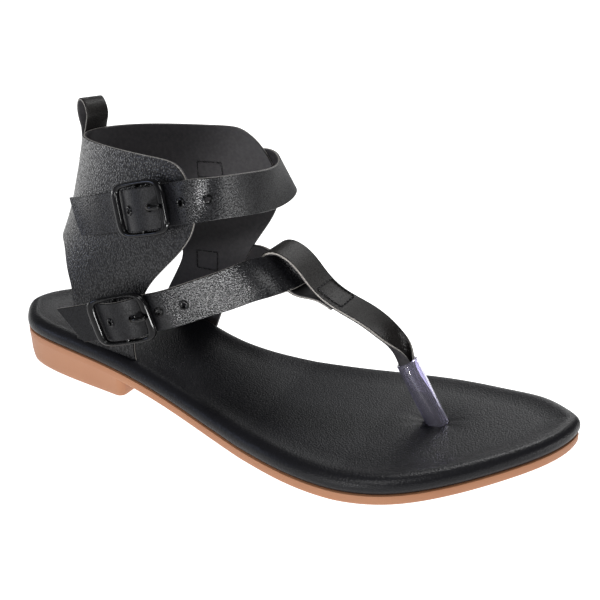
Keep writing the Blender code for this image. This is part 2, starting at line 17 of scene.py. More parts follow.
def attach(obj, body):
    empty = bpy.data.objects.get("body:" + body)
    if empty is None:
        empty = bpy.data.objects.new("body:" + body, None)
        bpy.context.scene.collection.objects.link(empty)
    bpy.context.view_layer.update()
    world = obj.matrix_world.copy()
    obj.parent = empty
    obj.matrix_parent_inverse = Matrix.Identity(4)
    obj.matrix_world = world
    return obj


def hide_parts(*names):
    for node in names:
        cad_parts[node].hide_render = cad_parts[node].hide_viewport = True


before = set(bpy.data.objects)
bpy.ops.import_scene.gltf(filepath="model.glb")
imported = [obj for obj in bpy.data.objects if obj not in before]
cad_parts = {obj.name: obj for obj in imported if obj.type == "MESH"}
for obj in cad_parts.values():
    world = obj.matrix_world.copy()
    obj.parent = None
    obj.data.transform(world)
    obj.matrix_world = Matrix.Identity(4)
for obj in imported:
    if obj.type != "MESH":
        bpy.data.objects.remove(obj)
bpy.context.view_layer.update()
MM = 0.001
print("solids:", sorted(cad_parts))

# %% [markdown]
# ## Colours and nodes
# Colours are picked as sRGB hex values, as a paint program shows them, and the renderer works with
# linear light, so one function converts them. One more small function adds a shader node: settings are the
# node's own choices, inputs are sockets, and a socket given as an input is linked instead of set.


# %% Colour and node helpers
def linear(text):
    """An sRGB hex colour as linear red, green, blue and alpha."""
    out = []
    for i in (1, 3, 5):
        c = int(text[i:i + 2], 16) / 255
        out.append(c / 12.92 if c <= 0.04045 else ((c + 0.055) / 1.055) ** 2.4)
    return (*out, 1.0)


def fill(tree, node, inputs):
    """Set the inputs of a node, or link them where a socket is given."""
    for key, value in inputs.items():
        if isinstance(value, bpy.types.NodeSocket):
            tree.links.new(value, node.inputs[key])
        else:
            node.inputs[key].default_value = value


def add(tree, kind, settings=None, inputs=None):
    """New shader node with its settings, its input values and its links."""
    node = tree.nodes.new("ShaderNode" + kind)
    for key, value in (settings or {}).items():
        setattr(node, key, value)
    fill(tree, node, inputs or {})
    return node


def new_material(name, **values):
    """Material with one Principled shader, whose constant values are set on its own sockets."""
    mat = bpy.data.materials.new(name)
    mat.use_nodes = True
    shader = mat.node_tree.nodes["Principled BSDF"]
    fill(mat.node_tree, shader, {key.replace("_", " "): value for key, value in values.items()})
    return mat, mat.node_tree, shader


def shades(tree, factor, stops):
    """Colour ramp over a factor socket, from pairs of position and hex colour."""
    ramp = add(tree, "ValToRGB", inputs={"Fac": factor})
    while len(ramp.color_ramp.elements) < len(stops):
        ramp.color_ramp.elements.new(0.5)
    for element, (place, colour) in zip(ramp.color_ramp.elements, stops):
        element.position = place
        element.color = linear(colour)
    return ramp.outputs["Color"]


# %% [markdown]
# ## Grained leather
# The cuff and straps are split leather with a polyurethane coat: a plate presses rounded pebbles, less than
# a millimetre wide, into the warm film. To the eye it is black with a satin shine that breaks up on them.
# Voronoi cells give the pebbles, and the valleys between them are painted darker and duller as painted shade.
# The coordinates are bent by a soft noise first, because an embossed hide grain has no straight rows, and on
# the cuff they are stretched upwards, as the cells in the photo are.
# Where a strap was bent or rubbed the pebbles are pressed flat. Each leather mesh stores the share of the
# grain that is left, and that share fades the bumps and dulls the shine.

# %% Pebbles and bumps
def pebbles(tree, width_mm, stretch):
    """Distance from the middle of the nearest pebble, for pebbles of a width in millimetres."""
    where = add(tree, "TexCoord").outputs["Object"]
    where = add(tree, "Mapping", inputs={"Vector": where, "Scale": stretch}).outputs["Vector"]
    bend = add(tree, "TexNoise", inputs={"Vector": where, "Scale": 0.8 / (width_mm * MM), "Detail": 2.0})
    size = (0.4 * width_mm * MM,) * 3
    bent = add(tree, "VectorMath", {"operation": "MULTIPLY_ADD"}, {
        0: bend.outputs["Color"], 1: size, 2: where,
    })
    cells = add(tree, "TexVoronoi", {"feature": "SMOOTH_F1"}, {
        "Vector": bent.outputs["Vector"], "Scale": 1 / (width_mm * MM), "Smoothness": 0.4,
    })
    return cells.outputs["Distance"]


def compute(tree, operation, a, b):
    """Result of a sum or product of two values."""
    return add(tree, "Math", {"operation": operation}, {0: a, 1: b}).outputs["Value"]


def remap(tree, value, low, high, start=0.0, end=1.0):
    """Value that goes from low to high while the given one goes from start to end."""
    return add(tree, "MapRange", inputs={0: value, 1: start, 2: end, 3: low, 4: high}).outputs["Result"]


def bumps(tree, height, strength, depth_mm, invert=False, over=None):
    """Normal of a surface with bumps of a depth in millimetres, over another normal or a smooth one."""
    inputs = {"Height": height, "Strength": strength, "Distance": depth_mm * MM}
    if over is not None:
        inputs["Normal"] = over
    return add(tree, "Bump", {"invert": invert}, inputs).outputs["Normal"]


# %% Leathers
EVEN = (1.0, 1.0, 1.0)
UPRIGHT = (1.0, 1.0, 0.66)
# The darker of the coat's two colours is painted shade, laid into the valleys between the pebbles.
COAT_AND_VALLEY_SHADE = ("#09090a", "#131316")
VALLEY_SHINE = 0.16
PEBBLE_SHINE = 0.38
WORN_ROUGHNESS = 0.38


def grained(name, valley_shade_and_top, width_mm, depth_mm, strength, roughness, stretch=EVEN, faded=False):
    """Leather with pebbles: painted shade makes it darker and duller in the valleys between them."""
    mat, tree, shader = new_material(name, Specular_IOR_Level=0.2)
    cells = pebbles(tree, width_mm, stretch)
    rough = remap(tree, cells, roughness - 0.05, roughness + 0.14)
    share = strength
    if faded:
        stored = add(tree, "Attribute", {"attribute_name": "grain"}).outputs["Fac"]
        share = compute(tree, "MULTIPLY", stored, strength)
        rough = compute(tree, "ADD", rough, remap(tree, stored, WORN_ROUGHNESS, 0.0))
        top = remap(tree, stored, VALLEY_SHINE, PEBBLE_SHINE)
        # Painted shade: the valleys get less shine than the pebble tops.
        fill(tree, shader, {"Specular IOR Level": remap(tree, cells, top, VALLEY_SHINE, 0.2, 0.65)})
    # Painted shade: the ramp darkens the valleys between the pebbles, in every grained finish.
    dark, light = valley_shade_and_top
    fill(tree, shader, {
        "Base Color": shades(tree, cells, ((0.25, light), (0.75, dark))),
        "Roughness": rough,
        "Normal": bumps(tree, cells, share, depth_mm, invert=True),
    })
    return mat


# Embossed coat of the cuff: upright pebbles that catch the light one by one.
leather = grained("pebbled_coated_leather", COAT_AND_VALLEY_SHADE, 0.66, 0.16, 1.0, 0.24, UPRIGHT, True)
# The same coat on the straps, embossed finer and flatter, so it shines in broader patches.
strap_leather = grained("fine_pebbled_coated_leather", COAT_AND_VALLEY_SHADE, 0.55, 0.085, 1.0, 0.2, faded=True)
# Thin coated fabric drawn over foam: an even, shallow grain that is duller than the straps.
bed_leather = grained("footbed_coated_fabric", ("#0b0b0e", "#121216"), 0.7, 0.15, 0.6, 0.32)
# Coat rolled on without a plate: nearly smooth, a little brown, with grain only where it is creased.
smooth_leather = grained("smooth_coated_leather", ("#151413", "#1c1a19"), 0.55, 0.12, 1.0, 0.2, faded=True)
print("leathers:", leather.name, strap_leather.name, bed_leather.name, smooth_leather.name)

# %% [markdown]
# ## Lining, cut edges and thread
# Behind the coat is a thin dark lining, matt and a little warm. Where the strap is cut, the undyed
# fibre of the split shows as a pale line between coat and lining. It is soft, so it hardly shines.
# The thread is twisted from fine filaments, so it is black and almost matt.

# %% Lining, cut edge and thread
def noise(tree, width_mm, detail):
    """Soft noise from 0 to 1, with features of a width in millimetres."""
    where = add(tree, "TexCoord").outputs["Object"]
    inputs = {"Vector": where, "Scale": 1 / (width_mm * MM), "Detail": detail}
    return add(tree, "TexNoise", inputs=inputs).outputs["Fac"]


def fibre(name, dark, light, width_mm, roughness, strength):
    """Matt fibre: a fine noise moves its colour and its surface."""
    mat, tree, shader = new_material(name, Roughness=roughness, Specular_IOR_Level=0.3)
    grain = noise(tree, width_mm, 3.0)
    fill(tree, shader, {
        "Base Color": shades(tree, grain, ((0.3, dark), (0.7, light))),
        "Normal": bumps(tree, grain, strength, 0.1),
    })
    return mat


lining = fibre("matt_synthetic_lining", "#252426", "#302e30", 1.4, 0.55, 0.3)
cut_edge = fibre("cut_split_leather_edge", "#66635f", "#938f8a", 0.6, 0.8, 0.4)
thread = fibre("black_polyester_thread", "#050506", "#0b0b0d", 0.3, 0.45, 0.5)
sheet_mats = (leather, cut_edge, lining)
strap_mats = (strap_leather, cut_edge, lining)
smooth_mats = (smooth_leather, cut_edge, lining)
print("fibres:", lining.name, cut_edge.name, thread.name)

# %% [markdown]
# ## Rubber, clear plastic and black metal
# The sole is moulded thermoplastic rubber, tan all through, with the faint eggshell texture of a blasted
# mould. The toe post sleeve is soft PVC with a violet blue tint: light goes through it, so it needs
# transmission and an index of refraction of about 1.5. The buckles are zinc castings in black
# electrophoretic lacquer, a hard thin coat that shines sharply over a black ground.

# %% Moulded rubber with slow colour drift, blasted texture and tread ribs on faces that look down
RIB_WIDTH = 3.0
WAVES_PER_SCALE = 20 / (2 * math.pi)
rubber, tree, shader = new_material("moulded_tan_rubber", Roughness=0.55, Specular_IOR_Level=0.4)
ribs = add(tree, "TexWave", {"wave_profile": "SIN"}, {
    "Vector": add(tree, "TexCoord").outputs["Object"], "Distortion": 0.0,
    "Scale": 1 / (WAVES_PER_SCALE * RIB_WIDTH * MM),
})
facing = add(tree, "SeparateXYZ", inputs={"Vector": add(tree, "NewGeometry").outputs["Normal"]})
under = remap(tree, facing.outputs["Z"], 0.0, 1.0, -0.9, -0.98)
tread = compute(tree, "MULTIPLY", ribs.outputs["Fac"], under)
blasted = bumps(tree, noise(tree, 0.7, 2.0), 0.25, 0.1)
fill(tree, shader, {
    "Base Color": shades(tree, noise(tree, 25.0, 3.0), ((0.3, "#a26f50"), (0.7, "#a97757"))),
    "Normal": bumps(tree, tread, 0.8, 0.8, over=blasted),
})
print("rubber:", rubber.name)

# %% Clear PVC, faintly uneven as drawn tube is
pvc, tree, shader = new_material(
    "clear_violet_pvc", Base_Color=linear("#d9d5ee"), Transmission_Weight=0.92, IOR=1.45, Roughness=0.03,
)
fill(tree, shader, {"Normal": bumps(tree, noise(tree, 3.0, 1.0), 0.15, 0.2)})
print("plastic:", pvc.name)

# %% Black lacquer with a trace of orange peel and slightly worn, duller spots
metal, tree, shader = new_material(
    "black_lacquered_zinc", Base_Color=linear("#050506"), Coat_Weight=0.15, Coat_Roughness=0.04, IOR=1.5,
    Specular_IOR_Level=0.14,
)
peel = noise(tree, 1.5, 2.0)
fill(tree, shader, {"Roughness": remap(tree, peel, 0.10, 0.22), "Normal": bumps(tree, peel, 0.12, 0.15)})
print("metal:", metal.name)

# %% [markdown]
# ## Curves through a few rows
# Each shape is a short table of rows with a smooth curve through them. A natural cubic
# spline passes through every row and bends as little as it can, like a thin strip of wood held by pins.


# %% Spline and vector helpers
def spline(xs, ys, at):
    """Natural cubic spline through (xs, ys) at the places in at. ys may have several columns."""
    xs = np.asarray(xs, float)
    ys = np.asarray(ys, float)
    at = np.asarray(at, float)
    flat = ys.ndim == 1
    if flat:
        ys = ys[:, None]
    step = np.diff(xs)
    slope = np.diff(ys, axis=0) / step[:, None]
    system = np.eye(len(xs))
    right = np.zeros_like(ys)
    for i in range(1, len(xs) - 1):
        system[i, i - 1:i + 2] = step[i - 1], 2 * (step[i - 1] + step[i]), step[i]
        right[i] = 6 * (slope[i] - slope[i - 1])
    bend = np.linalg.solve(system, right)
    i = np.clip(np.searchsorted(xs, at) - 1, 0, len(xs) - 2)
    h = step[i][:, None]
    a = (xs[i + 1] - at)[:, None]
    b = (at - xs[i])[:, None]
    out = (bend[i] * a ** 3 + bend[i + 1] * b ** 3) / (6 * h)
    out += (ys[i] / h - bend[i] * h / 6) * a + (ys[i + 1] / h - bend[i + 1] * h / 6) * b
    return out[:, 0] if flat else out


def unit(vectors):
    """Rows of an array scaled to length one."""
    return vectors / np.linalg.norm(vectors, axis=-1, keepdims=True)


def run_length(points):
    """Distance from the first point along a chain of points."""
    chords = np.linalg.norm(np.diff(points, axis=0), axis=1)
    return np.concatenate([[0.0], np.cumsum(chords)])


# %% [markdown]
# ## The plan of the sole
# Tables are in millimetres from the back of the heel: x to the toe, y to the inner side, z up.
# The plan outline is given by its reach to both sides at shares of the length. The shares become angles,
# so that the round ends get as many points as they need.

# %% Plan outline and arch
LENGTH = 252.0
BAND = 3.9
BED = 7.2
GAP = 0.3
OUTLINE = (
    # share, outer, inner
    (0, 0, 0),
    (0.02, 10.1, 13),
    (0.05, 17.8, 20),
    (0.1, 23, 26),
    (0.16, 25.6, 28.4),
    (0.28, 28.8, 27.6),
    (0.4, 33.6, 21.7),
    (0.52, 41.7, 24.9),
    (0.63, 49.5, 30.6),
    (0.72, 50.9, 36.6),
    (0.8, 45.3, 38.3),
    (0.87, 32.8, 36.1),
    (0.93, 18.2, 31.9),
    (0.97, 6.3, 24.7),
    (1, -14.2, 14.2),
)
UNDERSIDE = (
    # share, height of the band's lower face
    (0, 11.2), (0.16, 11), (0.3, 8), (0.45, 2.2), (0.56, -0.2), (0.66, -0.4), (0.75, 0.4), (0.88, 3.7),
    (1, 9.4),
)
ANGLES = np.arccos(1 - 2 * np.array([row[0] for row in OUTLINE]))


def plan(angle):
    """Points of the plan outline. The angle runs 0 at the heel, pi at the toe, on to 2 pi."""
    angle = np.mod(angle, 2 * math.pi)
    outer = angle <= math.pi
    half = np.where(outer, angle, 2 * math.pi - angle)
    reach = spline(ANGLES, [row[1:] for row in OUTLINE], half)
    y = np.where(outer, -reach[:, 0], reach[:, 1])
    return np.column_stack([LENGTH * (1 - np.cos(half)) / 2, y])


def plan_ring(angle, inset):
    """Plan outline moved inwards by inset."""
    turn = 0.01
    along = unit(plan(angle + turn) - plan(angle - turn))
    inward = np.column_stack([-along[:, 1], along[:, 0]])
    return plan(angle) + inset * inward


def underside(x):
    """Height of the outsole band's lower face, flat where the floor cuts it."""
    rows = np.array(UNDERSIDE)
    return np.maximum(spline(rows[:, 0] * LENGTH, rows[:, 1], x), 0.0)


def sole_top(x):
    """Height of the line between the outsole and the footbed."""
    return underside(x) + BAND


EDGE_POINTS = 721
edge_y = plan(np.linspace(0, 2 * math.pi, EDGE_POINTS))[:, 1]
SHIFT = np.array([-LENGTH / 2, -(edge_y.min() + edge_y.max()) / 2, 0.0])

# %% [markdown]
# ## From points to a piece
# A piece is a closed mesh in the frame's metres, shaded smooth except at real corners, and it rides on the
# one body of this part. Two pieces are joined or cut by a Boolean, whose result is kept as a plain mesh.


# %% Mesh helpers
def mesh_piece(name, points, faces, mats, slots=None, sharp=40.0):
    """New piece from points in millimetres in the heel frame, with outward faces."""
    mesh = bpy.data.meshes.new(name)
    mesh.from_pydata(((np.asarray(points, float) + SHIFT) * MM).tolist(), [], faces)
    for mat in mats:
        mesh.materials.append(mat)
    if slots is not None:
        mesh.polygons.foreach_set("material_index", slots)
    bm = bmesh.new()
    bm.from_mesh(mesh)
    bmesh.ops.recalc_face_normals(bm, faces=bm.faces)
    bm.to_mesh(mesh)
    bm.free()
    mesh.shade_smooth()
    mesh.set_sharp_from_angle(angle=math.radians(sharp))
    piece = bpy.data.objects.new(name, mesh)
    bpy.context.collection.objects.link(piece)
    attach(piece, "root")
    return piece


def combine(piece, other, operation, sharp=40.0):
    """Join other to the piece, or cut it away, and keep the result as a mesh."""
    step = piece.modifiers.new("combine", "BOOLEAN")
    step.operation = operation
    step.object = other
    bpy.context.view_layer.update()
    depsgraph = bpy.context.evaluated_depsgraph_get()
    made = bpy.data.meshes.new_from_object(piece.evaluated_get(depsgraph))
    piece.modifiers.clear()
    piece.data = made
    bpy.data.objects.remove(other)
    made.set_sharp_from_angle(angle=math.radians(sharp))


def stands_for(piece, slot, *nodes):
    """The piece shows in place of these solids, which are hidden. The slot is not used."""
    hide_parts(*nodes)
    print(f"{piece.name}: {len(piece.data.polygons)} faces")


def tube_faces(rings, sides, first=0, closed=False):
    """Faces between rings of points, with both ends capped or joined up."""
    faces = []
    for r in range(rings if closed else rings - 1):
        low = first + r * sides
        high = first + (r + 1) % rings * sides
        for i in range(sides):
            j = (i + 1) % sides
            faces.append((low + i, low + j, high + j, high + i))
    if not closed:
        faces.append(tuple(first + i for i in range(sides)))
        faces.append(tuple(first + (rings - 1) * sides + i for i in range(sides)))
    return faces


# %% [markdown]
# ## Outsole
# One moulding: a thin band under the whole foot and a low heel block with round breast corners. The band
# is a stack of plan rings, each at its own inset and height, closed by a net of cells below and above. The
# heel block is a second stack of rings that end in a straight breast, and a Boolean joins both, because the
# real sole has no seam there.

# %% Outsole sizes
STATIONS = 200
ACROSS = 64
OUTSOLE_EDGE = (
    # inset, height over the lower face
    (1.2, 0), (0.75, 0.12), (0.45, 0.4), (0.25, 0.8), (0.2, 1.3), (0.2, 3.2), (0.45, BAND - GAP / 2),
)
HEEL_EDGE = (
    # inset, height over the floor; the last ring follows the band
    (2.6, 0), (1.9, 0.15), (1.2, 0.9), (0.9, 2.6), (0.6, 5), (0.35, None),
)
HEEL_ANGLE = 1.4
HEEL_SEARCH = 561
HEEL_POINTS = 141
CORNER_POINTS = 13
BEAD_WIDTH = 5.0
BREAST_X = 71.0
BREAST_ROUND = 3.0
HEEL_SINK = 1.6
print("outsole rings:", len(OUTSOLE_EDGE), "and", len(HEEL_EDGE), "for the heel")


# %% Stack of plan rings
def stack_points(profile, base, relief=None):
    """Rings over the plan outline and the net of cells that closes the first and the last ring."""
    count = 2 * STATIONS
    angle = np.arange(count) * math.pi / STATIONS
    rings = []
    for inset, height in profile:
        ring = plan_ring(angle, inset)
        z = base(ring[:, 0]) + height
        if relief is not None:
            z += np.clip((inset - BEAD_WIDTH) / BEAD_WIDTH, 0.0, 1.0) * relief(ring[:, 0], ring[:, 1])
        rings.append(np.column_stack([ring, z]))
    points = np.vstack(rings)
    faces = tube_faces(len(profile), count)[:-2]
    for level in (0, len(profile) - 1):
        low = level * count
        height = profile[level][1]
        share = np.linspace(0, 1, ACROSS + 1)[None, 1:-1, None]
        left = rings[level][1:STATIONS, None, :]
        right = rings[level][count - 1:STATIONS:-1, None, :]
        inner = (left + (right - left) * share).reshape(-1, 3)
        inner[:, 2] = base(inner[:, 0]) + height
        if relief is not None and level:
            inner[:, 2] += relief(inner[:, 0], inner[:, 1])
        start = len(points)
        points = np.vstack([points, inner])
        rungs = [[low] * (ACROSS + 1)]
        for i in range(1, STATIONS):
            first = start + (i - 1) * (ACROSS - 1)
            rungs.append([low + i, *range(first, first + ACROSS - 1), low + count - i])
        rungs.append([low + STATIONS] * (ACROSS + 1))
        for a, b in zip(rungs, rungs[1:]):
            for k in range(ACROSS):
                faces.append(tuple(dict.fromkeys((a[k], a[k + 1], b[k + 1], b[k]))))
    return points, faces


# %% Heel block and whole outsole
def heel_rings():
    """Rings of the heel block: the back of the plan outline, closed by a straight breast."""
    fine = np.linspace(-HEEL_ANGLE, HEEL_ANGLE, HEEL_SEARCH)
    turn = np.linspace(0, math.pi / 2, CORNER_POINTS)[1:]
    rings = []
    for inset, height in HEEL_EDGE:
        reach = BREAST_X - (inset - HEEL_EDGE[-1][0])
        kept = fine[plan_ring(fine, inset)[:, 0] < reach - BREAST_ROUND]
        ring = plan_ring(np.linspace(kept[0], kept[-1], HEEL_POINTS), inset)
        corners = [
            np.column_stack([
                reach - BREAST_ROUND * (1 - np.sin(turn)),
                end[1] + side * BREAST_ROUND * (1 - np.cos(turn)),
            ])
            for end, side in ((ring[-1], 1.0), (ring[0], -1.0))
        ]
        ring = np.vstack([ring, corners[0], corners[1][::-1]])
        z = underside(ring[:, 0]) + HEEL_SINK if height is None else np.full(len(ring), height)
        rings.append(np.column_stack([ring, z]))
    return rings


outsole = mesh_piece("rubber_outsole", *stack_points(OUTSOLE_EDGE, underside), [rubber])
rings = heel_rings()
heel = mesh_piece("heel_block", np.vstack(rings), tube_faces(len(rings), len(rings[0])), [rubber])
combine(outsole, heel, "UNION")
stands_for(outsole, "outsole", "outsole")

# %% [markdown]
# ## Cuff
# The cuff is one sheet that wraps the heel like a cone cut open at the front. Around it a place is named by
# the square root of its distance in front of the rearmost line, so even steps of that root bend tightly at
# the back and run straight at the sides. A table of rows gives the rear and the front edge from the outer
# tab over the back to the inner tab.

# %% Cuff rows
WALL = 1.6
CUFF_AXIS_Y = 1.5
RIM_FLARE = 3.8
SIDE_HALF = 26.5
SIDE_ROUND = 3.5
FLARE_TOP = 80.0
FLARE_DEPTH = 60.0
CUFF_BACK = (
    # height, x of the rearmost line
    (10, 7), (20, 10), (40, 17.2), (58, 24.6), (74, 31), (84, 34.2), (93, 37), (105, 40.2), (112, 42),
)
CUFF = (
    # rear root, rear z, front root, front z
    (-6.1, 17.3, -8.35, 14.2),
    (-5.7, 27, -8.02, 26),
    (-5.1, 40.5, -7.88, 44),
    (-4.3, 49, -8.12, 60),
    (-3.4, 56, -8.72, 77),
    (-2.6, 59, -8.82, 92),
    (-1.9, 59.8, -8.2, 106.5),
    (-1.4, 60, -7, 108.4),
    (-0.7, 60, -4, 106.2),
    (0, 60, 0, 105.2),
    (1.5, 60, 4, 106.8),
    (3.5, 59.5, 6.6, 107.5),
    (5, 58, 7.6, 106),
    (6, 56, 8.4, 95),
    (6.55, 53, 8.92, 77),
    (6.82, 48, 8.86, 61),
    (6.88, 41, 8.74, 47),
    (6.75, 29, 8.7, 30),
    (6.6, 16.8, 8.65, 13.6),
)
print("cuff rows:", len(CUFF))


# %% Cuff surface
def cuff_back(z):
    """x of the cuff's rearmost line at height z."""
    rows = np.array(CUFF_BACK)
    return spline(rows[:, 0], rows[:, 1], z)


def cuff_point(root, z):
    """Point of the cuff's middle surface: a parabola at the rim that opens to two straight sides below."""
    low = np.clip((FLARE_TOP - z) / FLARE_DEPTH, 0.0, 1.0)
    low = low * low * (3 - 2 * low)
    size = np.abs(root)
    half = (1 - low) * RIM_FLARE * size + low * SIDE_HALF * np.tanh(size / SIDE_ROUND)
    return np.column_stack([cuff_back(z) + root ** 2, CUFF_AXIS_Y + np.sign(root) * half, z])


def cuff_normal(root, z):
    """Outward normal of the cuff."""
    d = 0.02
    along = cuff_point(root + d, z) - cuff_point(root - d, z)
    up = cuff_point(root, z + d) - cuff_point(root, z - d)
    return unit(np.cross(up, along))


def wall_point(side, x, z, lift):
    """Point at x and z on one side of the cuff, lifted off it, and the outward normal there."""
    z = np.array([z], float)
    root = side * np.sqrt(x - cuff_back(z))
    normal = cuff_normal(root, z)[0]
    return cuff_point(root, z)[0] + lift * normal, normal


def cuff_grid(along, across):
    """Points and normals of the cuff: along in rows of its table, across from the rear to the front."""
    rows = spline(np.arange(len(CUFF)), CUFF, along)
    share = np.asarray(across)[None, :]
    root = (rows[:, 0:1] * (1 - share) + rows[:, 2:3] * share).ravel()
    z = (rows[:, 1:2] * (1 - share) + rows[:, 3:4] * share).ravel()
    shape = (len(along), len(across), 3)
    return cuff_point(root, z).reshape(shape), cuff_normal(root, z).reshape(shape)


# %% [markdown]
# ## A cut sheet of leather
# Solidify would give the sheet a wall with one material. A cut strap has three layers to show: coat, pale
# fibre and lining. So the sheet is built with an outer and an inner face and a slightly rounded rim in
# strips between them, and each strip gets the layer that the knife uncovers there.

# %% Layers of the rim
THIN_CORE = (0.22, -0.04)
WIDE_CORE = (0.24, -0.18)


def rim_rows(core):
    """Rim from coat to lining: level through the wall, bulge in mm, layer of the strip that ends there."""
    return (
        (0.50, 0.00, 0),
        (0.40, 0.16, 0),
        (core[0], 0.24, 0),
        (core[1], 0.24, 1),
        (-0.40, 0.16, 2),
        (-0.50, 0.00, 2),
    )


def rim_loop(rows, cols):
    """Row and column of each grid point round the border, in order."""
    loop = [(0, c) for c in range(cols)]
    loop += [(r, cols - 1) for r in range(1, rows)]
    loop += [(rows - 1, c) for c in range(cols - 2, -1, -1)]
    loop += [(r, 0) for r in range(rows - 2, 0, -1)]
    return np.array(loop)


# %% Leather sheet, and the cuff as the first
def leather_sheet(name, middle, normals, mats, wall=WALL, core=THIN_CORE, grain=1.0):
    """Piece from a grid of points on the sheet's middle surface, with coat, rim and lining."""
    rows, cols = middle.shape[:2]
    rim = rim_rows(core)
    half = np.broadcast_to(np.asarray(wall, float), (rows, cols))[..., None]
    count = rows * cols
    loop = rim_loop(rows, cols)
    inner = np.column_stack([np.clip(loop[:, 0], 1, rows - 2), np.clip(loop[:, 1], 1, cols - 2)])
    edge = middle[loop[:, 0], loop[:, 1]]
    out = unit(edge - middle[inner[:, 0], inner[:, 1]])
    normal = normals[loop[:, 0], loop[:, 1]]
    thick = half[loop[:, 0], loop[:, 1]]
    points = [(middle + normals * half / 2).reshape(-1, 3), (middle - normals * half / 2).reshape(-1, 3)]
    points += [edge + normal * thick * level + out * bulge for level, bulge, _ in rim[1:-1]]
    border = loop[:, 0] * cols + loop[:, 1]
    bands = [border]
    bands += [2 * count + i * len(loop) + np.arange(len(loop)) for i in range(len(rim) - 2)]
    bands.append(border + count)
    r, c = np.meshgrid(np.arange(rows - 1), np.arange(cols - 1), indexing="ij")
    corner = (r * cols + c).ravel()
    cell = np.column_stack([corner, corner + 1, corner + cols + 1, corner + cols])
    faces = [cell, cell[:, ::-1] + count]
    slots = [np.zeros(len(cell), int), np.full(len(cell), 2)]
    for a, b, (_, _, layer) in zip(bands, bands[1:], rim[1:]):
        faces.append(np.column_stack([a, np.roll(a, -1), np.roll(b, -1), b]))
        slots.append(np.full(len(loop), layer))
    points = np.vstack(points)
    piece = mesh_piece(name, points, np.vstack(faces).tolist(), mats, np.concatenate(slots))
    share = np.ones(len(points))
    share[:count] = np.broadcast_to(grain, (rows, cols)).ravel()
    piece.data.attributes.new("grain", "FLOAT", "POINT").data.foreach_set("value", share)
    return piece


CUFF_ALONG = 320
CUFF_ACROSS = 48
cuff_sheet = cuff_grid(np.linspace(0, len(CUFF) - 1, CUFF_ALONG), np.linspace(0, 1, CUFF_ACROSS))
cuff = leather_sheet("leather_cuff", *cuff_sheet, sheet_mats)
stands_for(cuff, "upper", "upper")

# %% [markdown]
# ## Footbed
# A foam board wrapped in thin coated fabric. The wrap rolls over the edge in a bead, dips to a shallow
# channel, and lies flat under the foot, a little sunk where ball and heel press. It is a stack of plan rings
# again, with a smooth curve through the bead's profile. Board and foam keep this form, so it is modelled
# directly. Round the toe post the fabric is drawn into its hole, so the top sinks and puckers there.

# %% Footbed profile and relief
SLEEVE_TOP = np.array([186.4, 2.0, 33.3])
SLEEVE_FOOT = np.array([201.2, 2.0, 8.8])
SLEEVE_RADIUS = 4.3
POST_DOWN = unit(SLEEVE_FOOT - SLEEVE_TOP)
FOOTBED_EDGE = (
    # inset, height over the outsole
    (1.4, GAP / 2), (0.3, 1.4), (0, 3.1), (0.5, 5), (1.9, 6.5), (4, BED), (6.6, 6.95), (9.6, 6.55),
    (13, 6.35),
)
PUCKER = {"reach": 9.0, "depth": 1.1, "fold": 0.22, "folds": 9}
POST_LEAN = 1.6
PRINTS = (
    # x, y, reach along, reach across, depth
    (168, -4, 30, 22, 0.4),
    (42, 1.5, 24, 14, 0.3),
)


def footbed_relief(x, y):
    """Sunk and puckered fabric round the toe post, and the soft print of a foot under ball and heel."""
    dx = x - (SLEEVE_FOOT[0] - POST_LEAN)
    dy = y - SLEEVE_FOOT[1]
    near = np.exp(-(dx * dx + dy * dy) / PUCKER["reach"] ** 2)
    folds = PUCKER["fold"] * np.cos(PUCKER["folds"] * np.arctan2(dy, dx))
    height = near * (folds - PUCKER["depth"])
    for print_x, print_y, along, across, depth in PRINTS:
        height -= depth * np.exp(-((x - print_x) / along) ** 2 - ((y - print_y) / across) ** 2)
    return height


# %% Turned forms and rods
def circle(sides):
    """Cosines and sines of even steps round a circle."""
    turn = np.arange(sides) * 2 * math.pi / sides
    return np.cos(turn), np.sin(turn)


def turned(profile, start, axis, sides):
    """Points of a profile of radius and height, turned round an axis."""
    side = unit(np.cross(axis, [0.0, 1.0, 0.1]))
    cos, sin = circle(sides)
    ring = np.outer(cos, side) + np.outer(sin, np.cross(axis, side))
    return np.vstack([start + axis * height + radius * ring for radius, height in profile])


def rod_piece(name, start, end, radius, mats, sides=48):
    """Plain round rod between two points, for cutting. What it cuts shows the last of its materials."""
    length = np.linalg.norm(end - start)
    points = turned(((radius, 0.0), (radius, length)), start, (end - start) / length, sides)
    faces = tube_faces(2, sides)
    return mesh_piece(name, points, faces, mats, [len(mats) - 1] * len(faces))


# %% Footbed with its tab slots and the sleeve's seat
BEAD_RINGS = 43
steps = np.linspace(0, len(FOOTBED_EDGE) - 1, BEAD_RINGS)
bead = spline(np.arange(len(FOOTBED_EDGE)), FOOTBED_EDGE, steps)
footbed = mesh_piece("padded_footbed", *stack_points(bead, sole_top, footbed_relief), [bed_leather])
TAB_ROWS = ((-0.04, 1.0), (17.0, 18.04))
TAB_ALONG = 24
TAB_ACROSS = 30
TAB_SLACK = 0.008
for first, last in TAB_ROWS:
    tab = cuff_grid(np.linspace(first, last, TAB_ALONG), np.linspace(-TAB_SLACK, 1 + TAB_SLACK, TAB_ACROSS))
    combine(footbed, leather_sheet("tab_slot", *tab, [bed_leather] * 3, WALL + GAP), "DIFFERENCE")
SEAT_FROM = SLEEVE_FOOT - 9.0 * POST_DOWN
SEAT_TO = SLEEVE_FOOT + 0.2 * POST_DOWN
SEAT_RADIUS = SLEEVE_RADIUS + 0.15
combine(footbed, rod_piece("sleeve_seat", SEAT_FROM, SEAT_TO, SEAT_RADIUS, [bed_leather]), "DIFFERENCE")
stands_for(footbed, "footbed", "footbed")

# %% [markdown]
# ## Ankle strap and instep strap
# A strap is a flat ribbon along a chain of rows. Where it lies on the cuff, a row names a place on the cuff
# and a height over it. Where it runs free, a row gives a point and where the strap's face looks: its turn
# from the toe and its tilt. The ribbon's edges follow from run and face, and the tail is cut on a slant.

